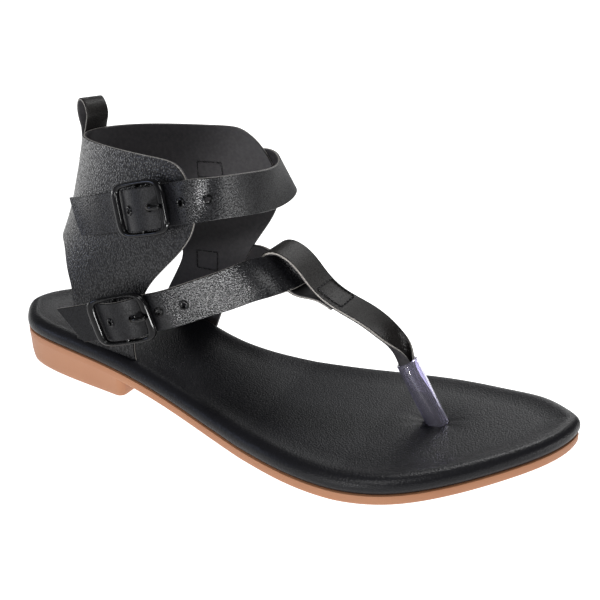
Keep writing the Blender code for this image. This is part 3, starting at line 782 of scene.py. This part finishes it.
# %% Ankle strap rows
STRAP_WIDTH = 15.6
TAIL_SLANT = 8.0
ON_WALL = WALL + GAP
ANKLE_STRAP = (
    # side, x, z, lift where it lies on the cuff, or x, y, z, turn, tilt where it runs free
    (1, 74.0, 86.8, ON_WALL),
    (1, 85.0, 88.2, ON_WALL),
    (1, 96.0, 89.4, ON_WALL),
    (107, 36.4, 90.5, 78, 12),
    (115.5, 33, 91, 58, 24),
    (121.5, 25, 91.3, 35, 24),
    (125.5, 14, 92.2, 16, 15),
    (128, 3, 93.8, 2, 8),
    (128.7, -9, 95.8, -11, 4),
    (126, -20, 97.3, -28, 2),
    (121, -29.5, 98, -52, 0),
    (-1, 114.0, 96.8, ON_WALL + 0.3),
    (-1, 104.3, 93.6, ON_WALL),
    (-1, 102.1, 92.9, 2.2),
    (-1, 99.3, 91.9, 4.7),
    (-1, 96.3, 90.9, 7),
    (-1, 91.8, 89.4, 7.8),
    (-1, 79.2, 85.2, 3.4),
    (-1, 64, 79.8, 2.4),
    (-1, 50, 74.8, 2.9),
    (-1, 43, 72.3, 4),
)
print("ankle strap rows:", len(ANKLE_STRAP))

# %% Instep strap rows
INSTEP_STRAP = (
    (1, 70.0, 45.0, ON_WALL),
    (1, 82.0, 45.3, ON_WALL),
    (1, 92.0, 45.8, ON_WALL + 0.2),
    (102, 32.6, 47.2, 74, 4),
    (114, 27.2, 49.4, 54, 16),
    (126, 19, 52.4, 40, 33),
    (135.9, 9.6, 61.6, 8, 52),
    (137, 2, 63, 0, 53),
    (135.9, -6.4, 63.2, -8, 50),
    (128, -13.5, 61.3, -44, 24),
    (118.5, -18.5, 57, -58, 10),
    (110, -23, 53.6, -62, 4),
    (101.5, -27, 50, -68, 2),
    (91.5, -30.2, 46.4, -80, 0),
    (89.3, -30.6, 45.7, -81, 0),
    (86.6, -33.1, 44.8, -82, 0),
    (83.6, -35.7, 43.8, -83, 0),
    (78.8, -36.8, 42.2, -84, 0),
    (66, -32.6, 37.8, -86, 0),
    (57, -32.4, 34.6, -86, 0),
    (47, -32.6, 31.2, -86, 0),
)
print("instep strap rows:", len(INSTEP_STRAP))


# %% Strap along its rows
def heading(knots, rows, run, step=0.2):
    """Direction of the curve through the rows, at distances along it."""
    return unit(spline(knots, rows, run + step) - spline(knots, rows, run - step))


class Strap:
    """Flat strap along the rows of a table, with its face turned as the rows say."""

    def __init__(self, table):
        points = []
        normals = []
        for row in table:
            if len(row) == 4:
                point, normal = wall_point(*row)
            else:
                point = np.array(row[:3])
                turn, tilt = np.radians(row[3:])
                flat = np.array([math.cos(turn), math.sin(turn), 0.0]) * math.cos(tilt)
                normal = flat + np.array([0.0, 0.0, math.sin(tilt)])
            points.append(point)
            normals.append(normal)
        self.points = np.array(points)
        self.normals = unit(np.array(normals))
        self.knots = run_length(self.points)

    def frame(self, run):
        """Middle, upward edge direction and outward normal at distances along the strap."""
        run = np.atleast_1d(run)
        middle = spline(self.knots, self.points, run)
        ahead = heading(self.knots, self.points, run)
        up = unit(np.cross(ahead, unit(spline(self.knots, self.normals, run))))
        return middle, up, np.cross(up, ahead)

    def grid(self, columns, rows):
        """Points and normals of the strap's middle surface, with the slanted tail at its end."""
        points = []
        normals = []
        for level in np.linspace(-0.5, 0.5, rows):
            end = self.knots[-1] - TAIL_SLANT * (0.5 - level)
            middle, up, normal = self.frame(np.linspace(0.0, end, columns))
            points.append(middle + up * level * STRAP_WIDTH)
            normals.append(normal)
        return np.array(points), np.array(normals)

    def spot(self, run, across, lift):
        """Point on the strap, and its normal: along it, across it and off its middle, in millimetres."""
        middle, up, normal = self.frame(run)
        return middle[0] + up[0] * across + normal[0] * lift, normal[0]


ankle = Strap(ANKLE_STRAP)
instep = Strap(INSTEP_STRAP)
print("strap lengths:", ankle.knots[-1].round(1), instep.knots[-1].round(1), "mm")

# %% [markdown]
# ## Punched holes
# The punch goes right through each strap: four holes with eyelets and one that the prong fills. The hole is
# cut with a rod, so that the eyelet has a real barrel to sit in. The straps are worn nearly smooth where they
# bend over the foot and at the buckles.

# %% Straps with their holes
EYELETS = {"ankle": (32.5, 22.3, -4.0, -17.2), "instep": (28.9, 18.1, -3.6, -17.2)}
BUCKLE_ROWS = {"ankle": (12, 16, 17), "instep": (13, 17, 18)}
PRONG_HOLE = 6.6
PUNCH_RADIUS = 1.5
PUNCH_REACH = 2.5
straps = {"ankle": ankle, "instep": instep}
ANKLE_GRAIN = (
    # row of the strap's table, share of the grain that is left there
    (0, 1.0), (3, 0.6), (5, 0.1), (7.5, 0.15), (9.5, 1.0), (12, 1.0), (13, 0.5), (17, 0.5), (18, 1.0),
)
INSTEP_GRAIN = ((0, 1.0), (12.4, 1.0), (13.4, 0.5), (17.5, 0.2), (20, 0.15))
GRAIN_BY_ROW = {"ankle": ANKLE_GRAIN, "instep": INSTEP_GRAIN}
STRAP_CORE = {"ankle": THIN_CORE, "instep": WIDE_CORE}
STRAP_ALONG = 300
STRAP_ACROSS = 20
PUNCH_SIDES = 24


def grain_left(runs, knots, table):
    """Share of the grain that is left at places along a strap, from pairs of row and share."""
    row = np.interp(runs, knots, np.arange(len(knots)))
    return np.interp(row, *np.array(table).T)


for name, strap in straps.items():
    share = grain_left(np.linspace(0.0, strap.knots[-1], STRAP_ALONG), strap.knots, GRAIN_BY_ROW[name])
    sheet = strap.grid(STRAP_ALONG, STRAP_ACROSS)
    ribbon = leather_sheet(f"{name}_strap", *sheet, strap_mats, core=STRAP_CORE[name], grain=share)
    middle_run = strap.knots[BUCKLE_ROWS[name][1]]
    for place in (*EYELETS[name], PRONG_HOLE):
        top, normal = strap.spot(middle_run - place, 0.0, PUNCH_REACH)
        low = top - 2 * PUNCH_REACH * normal
        punch = rod_piece("punch", low, top, PUNCH_RADIUS, [strap_leather, cut_edge], PUNCH_SIDES)
        combine(ribbon, punch, "DIFFERENCE")
    stands_for(ribbon, "upper", "upper")

# %% [markdown]
# ## Thread
# A lockstitch shows as short bars of thread: each rises out of its hole, lies on the leather and dives into
# the next. One function walks a seam drawn on any surface and makes every bar a small bent tube.

# %% Stitch helper
THREAD = 0.34
STITCH = 2.3
SUNK = (-0.30, 0.12, 0.24, 0.12, -0.30)
BAR_SPAN = (0.1, 0.9)
ASIDE = (0.31, 0.52, 0.79)
THREAD_SIDES = 8


def seam(surface, corners, pitch=STITCH):
    """Bars of thread along the chain of corners, each as five points and normals from surface(u, v)."""
    bars = []
    for a, b in zip(np.array(corners[:-1], float), np.array(corners[1:], float)):
        count = max(1, round(np.linalg.norm(b - a) / pitch))
        for k in range(count):
            bar = []
            for share, lift in zip(np.linspace(*BAR_SPAN, len(SUNK)), SUNK):
                point, normal = surface(*(a + (b - a) * (k + share) / count))
                bar.append(point + normal * lift)
            bars.append(np.array(bar))
    return bars


def bent_tube(path, radius, sides):
    """Points of a round tube along a path, ring by ring. The radius may change along it."""
    path = np.asarray(path, float)
    ahead = unit(np.gradient(path, axis=0))
    side = unit(np.cross(ahead, ASIDE))
    lift = np.cross(ahead, side)
    cos, sin = circle(sides)
    radius = np.broadcast_to(radius, len(path))[:, None, None]
    ring = cos[None, :, None] * side[:, None, :] + sin[None, :, None] * lift[:, None, :]
    return (path[:, None, :] + radius * ring).reshape(-1, 3)


def box_path(u0, u1, v0, v1):
    """Corners of a sewn box, back to the first one."""
    return ((u0, v0), (u1, v0), (u1, v1), (u0, v1), (u0, v0))


def stitch_piece(name, bars):
    """One piece with all the bars of thread of a seam."""
    points = [bent_tube(bar, THREAD, THREAD_SIDES) for bar in bars]
    faces = []
    for i, bar in enumerate(bars):
        faces += tube_faces(len(bar), THREAD_SIDES, i * len(bar) * THREAD_SIDES)
    piece = mesh_piece(name, np.vstack(points), faces, [thread])
    print(f"{name}: {len(bars)} stitches")
    return piece


# %% [markdown]
# ## Sewn boxes on the inner side
# Both straps are sewn to the inner side of the cuff with a small box of stitches, which shows on the strap's
# face and inside, on the lining.

# %% Box stitches of both straps
SEWN_BOXES = {"ankle": (77.5, 88.0, 84.5, 91.5), "instep": (74.0, 84.0, 41.0, 49.5)}


def on_strap_face(x, z):
    """Outer face of a strap that lies on the inner side of the cuff."""
    return wall_point(1, x, z, ON_WALL + WALL / 2)


def on_lining(x, z):
    """Lining of the cuff's inner side, with its normal towards the foot."""
    point, normal = wall_point(1, x, z, -WALL / 2)
    return point, -normal


for name, sides in SEWN_BOXES.items():
    box = box_path(*sides)
    stitch_piece(f"{name}_box_stitches", seam(on_strap_face, box) + seam(on_lining, box))

# %% [markdown]
# ## Toe strap
# The toe strap starts as a tongue, turns round the instep strap, is sewn back on itself with a box of
# stitches, runs down over the foot and rolls up lengthwise to fit its sleeve. Its section is an arc of
# constant width: flat where the roll is zero and almost a tube where it enters the sleeve.

# %% Toe strap rows
TOE_STRAP_Y = 1.6
TOE_STRAP = (
    # x, z, width, roll in radians, wall
    (157.5, 52.1, 14.4, 0, 1.1),
    (150.5, 54.6, 14.4, 0, 1.1),
    (141.6, 55, 14.6, 0, 1.3),
    (134.8, 58.6, 14.6, 0, 1.6),
    (128.8, 63.3, 14.6, 0, 1.6),
    (127.2, 67.2, 14.6, 0, 1.6),
    (130.7, 70.2, 14.6, 0, 1.6),
    (136, 69.9, 14.6, 0, 1.6),
    (142, 66.3, 14.6, 0, 1.6),
    (147.2, 61, 14.6, 0, 1.5),
    (152.4, 56.5, 14.6, 0, 1.4),
    (161, 52.2, 14.8, 0.05, 1.6),
    (169, 49, 15, 0.25, 1.6),
    (175.2, 44.8, 15, 0.8, 1.5),
    (179.8, 39.9, 14.6, 2, 1.3),
    (182.5, 35.8, 14, 3.7, 1.2),
    (184.2, 32, 13.4, 5, 1.2),
    (191.4, 20.1, 13.4, 5.1, 1.2),
    (198.4, 8.5, 13.4, 5.1, 1.2),
)
toe_rows = np.array(TOE_STRAP)
toe_run = run_length(toe_rows[:, :2])
print("toe strap length:", toe_run[-1].round(1), "mm")


# %% Toe strap
def toe_surface(run, level):
    """Points of the toe strap's middle surface and its outer normals, by run and share of the width."""
    run = np.atleast_1d(run)
    x, z, width, roll, _ = spline(toe_run, toe_rows, run).T
    ahead = heading(toe_run, toe_rows[:, :2], run)
    face = np.column_stack([-ahead[:, 1], np.zeros(len(run)), ahead[:, 0]])
    roll = np.maximum(roll, 0.001)
    radius = (width / roll)[:, None]
    angle = (level * roll)[:, None]
    sideways = np.array([0.0, 1.0, 0.0])
    middle = np.column_stack([x, np.full(len(run), TOE_STRAP_Y), z])
    points = middle + face * radius * (1 - np.cos(angle)) + sideways * radius * np.sin(angle)
    return points, face * np.cos(angle) - sideways * np.sin(angle)


def surface_grid(surface, runs, places):
    """Points and normals of a surface at distances along it, for each place across it."""
    parts = [surface(runs, place) for place in places]
    return np.array([points for points, _ in parts]), np.array([normals for _, normals in parts])


TOE_GRAIN = ((0, 0.35), (10.5, 0.35), (11.5, 0.0), (12.6, 0.1), (13.5, 1.0), (16, 1.0), (17, 0.4))
TOE_ALONG = 340
TOE_ACROSS = 26
toe_columns = np.linspace(0.0, toe_run[-1], TOE_ALONG)
toe_sheet = surface_grid(toe_surface, toe_columns, np.linspace(-0.5, 0.5, TOE_ACROSS))
toe_wall = spline(toe_run, toe_rows[:, 4], toe_columns)
toe_left = grain_left(toe_columns, toe_run, TOE_GRAIN)
toe_strap = leather_sheet("toe_strap_leather", *toe_sheet, smooth_mats, toe_wall, WIDE_CORE, toe_left)
stands_for(toe_strap, "smooth_leather", "toe_strap")

# %% [markdown]
# ## Clear sleeve
# A short length of soft tube keeps the strap from rubbing between the toes. It is a ring profile turned round
# the post, with a small round lip at both ends, and a wall of about 0.8 mm.

# %% Sleeve
SLEEVE_BORE = 3.5
SLEEVE_LIP = 0.25
SLEEVE_SIDES = 64
SLEEVE_RINGS = 20
sleeve_length = float(np.linalg.norm(SLEEVE_FOOT - SLEEVE_TOP))
along = np.linspace(SLEEVE_LIP, sleeve_length - SLEEVE_LIP, SLEEVE_RINGS)
lips = (SLEEVE_BORE + SLEEVE_LIP, SLEEVE_RADIUS - SLEEVE_LIP)
profile = [(SLEEVE_BORE, SLEEVE_LIP), (lips[0], 0.0), (lips[1], 0.0)]
profile += [(SLEEVE_RADIUS, height) for height in along]
profile += [(lips[1], sleeve_length), (lips[0], sleeve_length)]
profile += [(SLEEVE_BORE, height) for height in along[:0:-1]]
points = turned(profile, SLEEVE_TOP, POST_DOWN, SLEEVE_SIDES)
faces = tube_faces(len(profile), SLEEVE_SIDES, closed=True)
sleeve = mesh_piece("clear_toe_post_sleeve", points, faces, [pvc])
stands_for(sleeve, "sleeve", "toe_post_sleeve")

# %% [markdown]
# ## Box stitch on the toe strap
# Black thread on black leather shows by its shadow: a box about 10 mm long just in front of the loop.

# %% Toe strap stitches
BOX_FROM = 150.3
BOX_TO = 160.6
BOX_SIDES = (-3.6, 4.2)
BOX_PITCH = 1.6
UPPER_PLY = (7, 12)
PLY_SEARCH = 400


def toe_run_at(x):
    """Run of the toe strap's upper ply at a given x."""
    runs = np.linspace(*(toe_run[row] for row in UPPER_PLY), PLY_SEARCH)
    return float(np.interp(x, spline(toe_run, toe_rows[:, 0], runs), runs))


def on_toe_strap(run, tenths):
    """Outer face of the toe strap, by run and tenths of its width."""
    point, normal = toe_surface(run, tenths / 10)
    return point[0] + normal[0] * WALL / 2, normal[0]


toe_box = box_path(toe_run_at(BOX_FROM), toe_run_at(BOX_TO), *BOX_SIDES)
stitch_piece("toe_strap_stitches", seam(on_toe_strap, toe_box, BOX_PITCH))

# %% [markdown]
# ## Pull loop
# A narrow strip folded over and sewn to the back of the cuff. Its path is drawn as distance out from the
# cuff and height over the rim; below the rim it follows the leaning cuff.

# %% Pull loop rows
PULL_LOOP_ROOT = 1.05
PULL_LOOP_RIM = 106.0
PULL_LOOP_WIDTH = 9.0
PULL_LOOP_WALL = 1.2
PULL_LOOP_GRAIN = 0.4
LOOP_ALONG = 160
LOOP_ACROSS = 14
PULL_LOOP = (
    # out, height
    (1.9, -14), (1.9, -6), (1.7, -0.5), (0, 3), (-1.4, 6.6), (0.6, 10.4), (4, 11.8), (7.6, 10),
    (8.8, 6), (6.8, 1), (4.4, -3), (3.5, -7), (3.5, -14),
)
loop_rows = np.array(PULL_LOOP)
loop_run = run_length(loop_rows)
loop_out = cuff_normal(np.array([PULL_LOOP_ROOT]), np.array([PULL_LOOP_RIM]))[0]
loop_out = unit(loop_out * [1.0, 1.0, 0.0])
loop_side = np.cross(loop_out, [0.0, 0.0, 1.0])
print("pull loop length:", loop_run[-1].round(1), "mm")


# %% Pull loop and its stitches
def loop_surface(run, across):
    """Points of the loop's middle surface and its outer normals."""
    run = np.atleast_1d(run)
    path = spline(loop_run, loop_rows, run)
    ahead = heading(loop_run, loop_rows, run, 0.1)
    height = np.full(len(run), PULL_LOOP_RIM) + np.minimum(path[:, 1], 0.0)
    middle = cuff_point(np.full(len(run), PULL_LOOP_ROOT), height) + loop_out * path[:, :1]
    middle[:, 2] += np.maximum(path[:, 1], 0.0)
    normal = -loop_out * ahead[:, 1:] + np.array([0.0, 0.0, 1.0]) * ahead[:, :1]
    return middle + loop_side * across, normal


loop_columns = np.linspace(0.0, loop_run[-1], LOOP_ALONG)
loop_lanes = PULL_LOOP_WIDTH * np.linspace(-0.5, 0.5, LOOP_ACROSS)
loop_sheet = surface_grid(loop_surface, loop_columns, loop_lanes)
pull_loop = leather_sheet(
    "pull_loop_strip", *loop_sheet, smooth_mats, PULL_LOOP_WALL, WIDE_CORE, PULL_LOOP_GRAIN
)
stands_for(pull_loop, "smooth_leather", "pull_loop")


def on_loop(run, across):
    """Outer face of the loop's outer leg."""
    point, normal = loop_surface(run, across)
    return point[0] + normal[0] * PULL_LOOP_WALL / 2, normal[0]


LOOP_BOX = {"from": 7.0, "to": 1.5, "half": 3.2, "pitch": 1.8}
foot = loop_run[-1]
loop_box = box_path(foot - LOOP_BOX["from"], foot - LOOP_BOX["to"], -LOOP_BOX["half"], LOOP_BOX["half"])
stitch_piece("pull_loop_stitches", seam(on_loop, loop_box, LOOP_BOX["pitch"]))

# %% [markdown]
# ## Buckles
# Each buckle is a rounded frame with a middle bar: the strap goes under the front bar, over the middle bar
# and under the rear bar. The frame's wire is swept round a superellipse, which is a rectangle whose corners
# round off little by little, and it is wider at both end bars, as castings are there. The prong starts at
# the middle bar, comes up through its hole and rests on the front bar.

# %% Buckle sizes
BUCKLE_LENGTH = 28.2
BUCKLE_HEIGHT = 21.9
SQUARENESS = 5.2
WIRE = 1.2
MIDDLE_BAR = 1.0
PRONG_WIRE = 1.0
BAR_SLACK = 0.75
SIDE_BAR = 0.8
END_BAR = 1.75
BAR_HEIGHT = 0.95
FRAME_RINGS = 120
FRAME_SIDES = 16
BAR_RINGS = 12
BAR_SIDES = 12
PRONG_RINGS = 40
PRONG_SIDES = 14
PRONG_TIP = 0.9
PRONG_TAIL = 0.5
PRONG = (
    # forward from the middle bar, lift
    (1.5, -0.5), (3.6, -0.7), (5.2, -0.5), (6.6, 1.2), (8, 2.6), (10, 2.9), (12, 2.5), (13.8, 2.3),
)
print("buckle:", BUCKLE_LENGTH, "x", BUCKLE_HEIGHT, "mm")


# %% Buckle frame
def buckle_axes(strap, rows):
    """Centre of the buckle and its directions: forward, across and off the strap."""
    front_run, middle_run, rear_run = (strap.knots[i] for i in rows)
    over = WALL / 2 + GAP + WIRE + BAR_SLACK
    front = strap.spot(front_run, 0.0, over)[0]
    rear = strap.spot(rear_run, 0.0, over)[0]
    forward = unit(front - rear)
    off = strap.spot(middle_run, 0.0, 0.0)[1]
    off = unit(off - forward * (off @ forward))
    return (front + rear) / 2, forward, np.cross(off, forward), off


def buckle_frame(name, centre, forward, across, off):
    """Frame swept round its superellipse, with the middle bar."""
    half_x = BUCKLE_LENGTH / 2 - WIRE
    half_y = BUCKLE_HEIGHT / 2 - WIRE
    power = 2 / SQUARENESS
    cos, sin = circle(FRAME_RINGS)
    x = half_x * np.sign(cos) * np.abs(cos) ** power
    y = half_y * np.sign(sin) * np.abs(sin) ** power
    path = centre + np.outer(x, forward) + np.outer(y, across)
    ahead = unit(np.roll(path, -1, axis=0) - np.roll(path, 1, axis=0))
    outward = np.cross(ahead, off)
    end = np.abs(outward @ forward)[:, None]
    wide = SIDE_BAR + (END_BAR - SIDE_BAR) * end ** 2
    cos, sin = circle(FRAME_SIDES)
    rings = [
        place + WIRE * (np.outer(cos, out) * width + np.outer(sin, off) * BAR_HEIGHT)
        for place, out, width in zip(path, outward, wide)
    ]
    bar = centre + np.outer(np.linspace(-half_y, half_y, BAR_RINGS), across)
    points = np.vstack([*rings, bent_tube(bar, MIDDLE_BAR, BAR_SIDES)])
    faces = tube_faces(len(rings), FRAME_SIDES, closed=True)
    faces += tube_faces(BAR_RINGS, BAR_SIDES, len(rings) * FRAME_SIDES)
    return mesh_piece(name, points, faces, [metal])


# %% Prong, and both buckles
def buckle_prong(name, centre, forward, off):
    """Prong along a smooth path, tapered to a round tip."""
    rows = np.array(PRONG)
    run = run_length(rows)
    at = np.linspace(0.0, run[-1], PRONG_RINGS)
    path = spline(run, rows, at)
    points = centre + np.outer(path[:, 0], forward) + np.outer(path[:, 1], off)
    tip = np.clip((run[-1] - at) / PRONG_TIP, 0.0, 1.0)
    tail = np.clip(at / PRONG_TAIL, 0.0, 1.0)
    radius = PRONG_WIRE * np.sqrt(np.clip(1 - (1 - tip * tail) ** 2, 0.02, 1.0))
    faces = tube_faces(PRONG_RINGS, PRONG_SIDES)
    return mesh_piece(name, bent_tube(points, radius, PRONG_SIDES), faces, [metal])


for name, strap in straps.items():
    centre, forward, across, off = buckle_axes(strap, BUCKLE_ROWS[name])
    frame_piece = buckle_frame(f"{name}_buckle_casting", centre, forward, across, off)
    stands_for(frame_piece, "hardware", f"{name}_buckle_frame")
    prong = buckle_prong(f"{name}_prong_wire", centre, forward, off)
    stands_for(prong, "hardware", f"{name}_buckle_prong")

# %% [markdown]
# ## Eyelets
# An eyelet is a turned ring: a barrel in the hole with a rolled flange on the face.

# %% Eyelets
EYELET = (
    # radius, height over the strap's face
    (1.05, -1.4), (1.05, 0.1), (1.12, 0.36), (1.35, 0.56), (1.65, 0.56), (1.9, 0.38), (2.02, 0.12),
    (1.98, 0.02), (1.4, 0.02), (1.4, -1.4),
)
EYELET_SIDES = 28
faces = tube_faces(len(EYELET), EYELET_SIDES, closed=True)
for name, strap in straps.items():
    middle_run = strap.knots[BUCKLE_ROWS[name][1]]
    for number, ahead in enumerate(EYELETS[name], 1):
        points = turned(EYELET, *strap.spot(middle_run - ahead, 0.0, WALL / 2), EYELET_SIDES)
        eyelet = mesh_piece(f"{name}_rolled_eyelet_{number}", points, faces, [metal])
        stands_for(eyelet, "hardware", f"{name}_eyelet_{number}")

# %% [markdown]
# ## Floor
# The floor is white and it glows: its emission is painted light, strongest round the shoe and behind it and
# fading softly outwards, so the ground is white, has almost no shadow and lights the shoe from below.
# Upright leather mirrors that floor, which is why black straps look dark grey.

# %% Floor with painted glow
floor_mat, floor_tree, floor_shader = new_material(
    "white_floor_with_painted_glow", Roughness=0.9, Specular_IOR_Level=0.1, Base_Color=linear("#8c8c8c"),
    Emission_Color=linear("#ffffff"),
)
# Painted glow: the floor's emission, raised in soft spots round and behind the shoe, fills the shoe's shadow
# and lights it from below.
PAINTED_FLOOR_GLOW = 0.3
PAINTED_GLOW_SPOTS = (
    # x, y, radius in millimetres, extra glow
    (170, 20, 420, 0.95),
    (0, 400, 700, 0.6),
    (-300, 900, 1000, 1.5),
)
where = add(floor_tree, "TexCoord").outputs["Object"]
glow = PAINTED_FLOOR_GLOW
for x, y, radius, extra in PAINTED_GLOW_SPOTS:
    spot = (np.array([x, y, 0.0]) + SHIFT) * MM
    away = add(floor_tree, "VectorMath", {"operation": "DISTANCE"}, {0: where, 1: spot}).outputs["Value"]
    shine = add(floor_tree, "MapRange", {"interpolation_type": "SMOOTHSTEP"}, {
        0: away, 1: radius * MM, 2: 0.0, 3: 0.0, 4: extra,
    })
    glow = compute(floor_tree, "ADD", shine.outputs["Result"], glow)
fill(floor_tree, floor_shader, {"Emission Strength": glow})
REACH = 40.0
corners = [(-REACH, -REACH, 0), (REACH, -REACH, 0), (REACH, REACH, 0), (-REACH, REACH, 0)]
floor_mesh = bpy.data.meshes.new("floor")
floor_mesh.from_pydata(corners, [], [(0, 1, 2, 3)])
floor_mesh.materials.append(floor_mat)
floor = bpy.data.objects.new("floor", floor_mesh)
bpy.context.collection.objects.link(floor)
print("light table with", len(PAINTED_GLOW_SPOTS), "lamps")

# %% [markdown]
# ## Light
# Six soft boxes hang round the shoe: overhead and back light the top of the leather, key and front light
# the side that the photo shows, heel and side draw a faint line on the round back. Four flat boxes lie on
# the table beyond the edge of the picture, shining up. Upright leather mirrors them at a low angle, and that
# is the bright patch on each strap. The picture is shown as it is, without a film curve.

# %% Soft box
TARGET = (np.array([141.0, -0.1, 50.3]) + SHIFT) * MM


def soft_box(name, place, size, power, colour="#ffffff", aim=(0.0, 0.0, 0.0)):
    """Square area light, placed and aimed from the middle of the picture, in metres."""
    data = bpy.data.lights.new(name, "AREA")
    data.shape = "SQUARE"
    data.size = size
    data.energy = power
    data.color = linear(colour)[:3]
    lamp = bpy.data.objects.new(name, data)
    lamp.location = Vector(TARGET) + Vector(place)
    lamp.rotation_euler = (Vector(aim) - Vector(place)).to_track_quat("-Z", "Y").to_euler()
    bpy.context.collection.objects.link(lamp)


# %% Boxes and air
SOFT_BOXES = (
    # name, place, size in metres, power in watts, colour if not white
    ("overhead_box", (0.1, 0.42, 0.9), 0.22, 5.0),
    ("back_box", (0.0, 0.88, 0.45), 0.6, 2.9),
    ("heel_box", (-0.7, 0.66, 0.47), 0.2, 0.6),
    ("front_box", (-0.12, -0.9, 0.06), 0.12, 1.2),
    ("key_box", (0.2, -0.72, 0.64), 0.45, 4.2),
    ("side_box", (-0.62, -0.36, 0.10), 0.15, 0.5, "#cfdcff"),
)
FLAT_BOXES = (
    # x, y from the heel in millimetres, size in metres, power in watts
    (-450, 30, 0.243, 0.88),
    (195, -245, 0.097, 2.1),
    (430, 10, 0.136, 0.9),
    (-170, -520, 0.195, 1.45),
)
FLAT_HEIGHT = 2.0
for box in SOFT_BOXES:
    soft_box(*box)
for number, (x, y, size, power) in enumerate(FLAT_BOXES, 1):
    place = Vector((np.array([x, y, FLAT_HEIGHT]) + SHIFT) * MM - TARGET)
    soft_box(f"flat_box_{number}", place, size, power, aim=place + Vector((0.0, 0.0, 1.0)))
print("boxes:", len(SOFT_BOXES), "round the shoe and", len(FLAT_BOXES), "on the table")
world = bpy.data.worlds.new("studio_air")
world.use_nodes = True
air = world.node_tree.nodes["Background"]
fill(world.node_tree, air, {"Color": linear("#ffffff"), "Strength": 0.22})
bpy.context.scene.world = world
bpy.context.scene.view_settings.view_transform = "Standard"

# %% [markdown]
# ## Camera
# The photo's camera was solved on the outline of the sole: it stands to the right of the toe and looks down
# on the shoe. Its place is given by two angles and a distance from the middle of the picture.

# %% Camera
AZIMUTH = math.radians(28.23)
ELEVATION = math.radians(24.47)
DISTANCE = 0.400
LENS = 60.7
right = Vector((math.cos(AZIMUTH), math.sin(AZIMUTH), 0.0))
back = Vector((
    math.sin(AZIMUTH) * math.cos(ELEVATION), -math.cos(AZIMUTH) * math.cos(ELEVATION), math.sin(ELEVATION)
))
up = back.cross(right)
camera_data = bpy.data.cameras.new("photo_camera")
camera_data.lens = LENS
camera_data.sensor_width = 36.0
camera_data.clip_start = 0.01
camera = bpy.data.objects.new("photo_camera", camera_data)
axes = Matrix((right, up, back)).transposed().to_4x4()
camera.matrix_world = Matrix.Translation(Vector(TARGET) + back * DISTANCE) @ axes
bpy.context.collection.objects.link(camera)
bpy.context.scene.camera = camera
print("camera at", camera.matrix_world.translation)
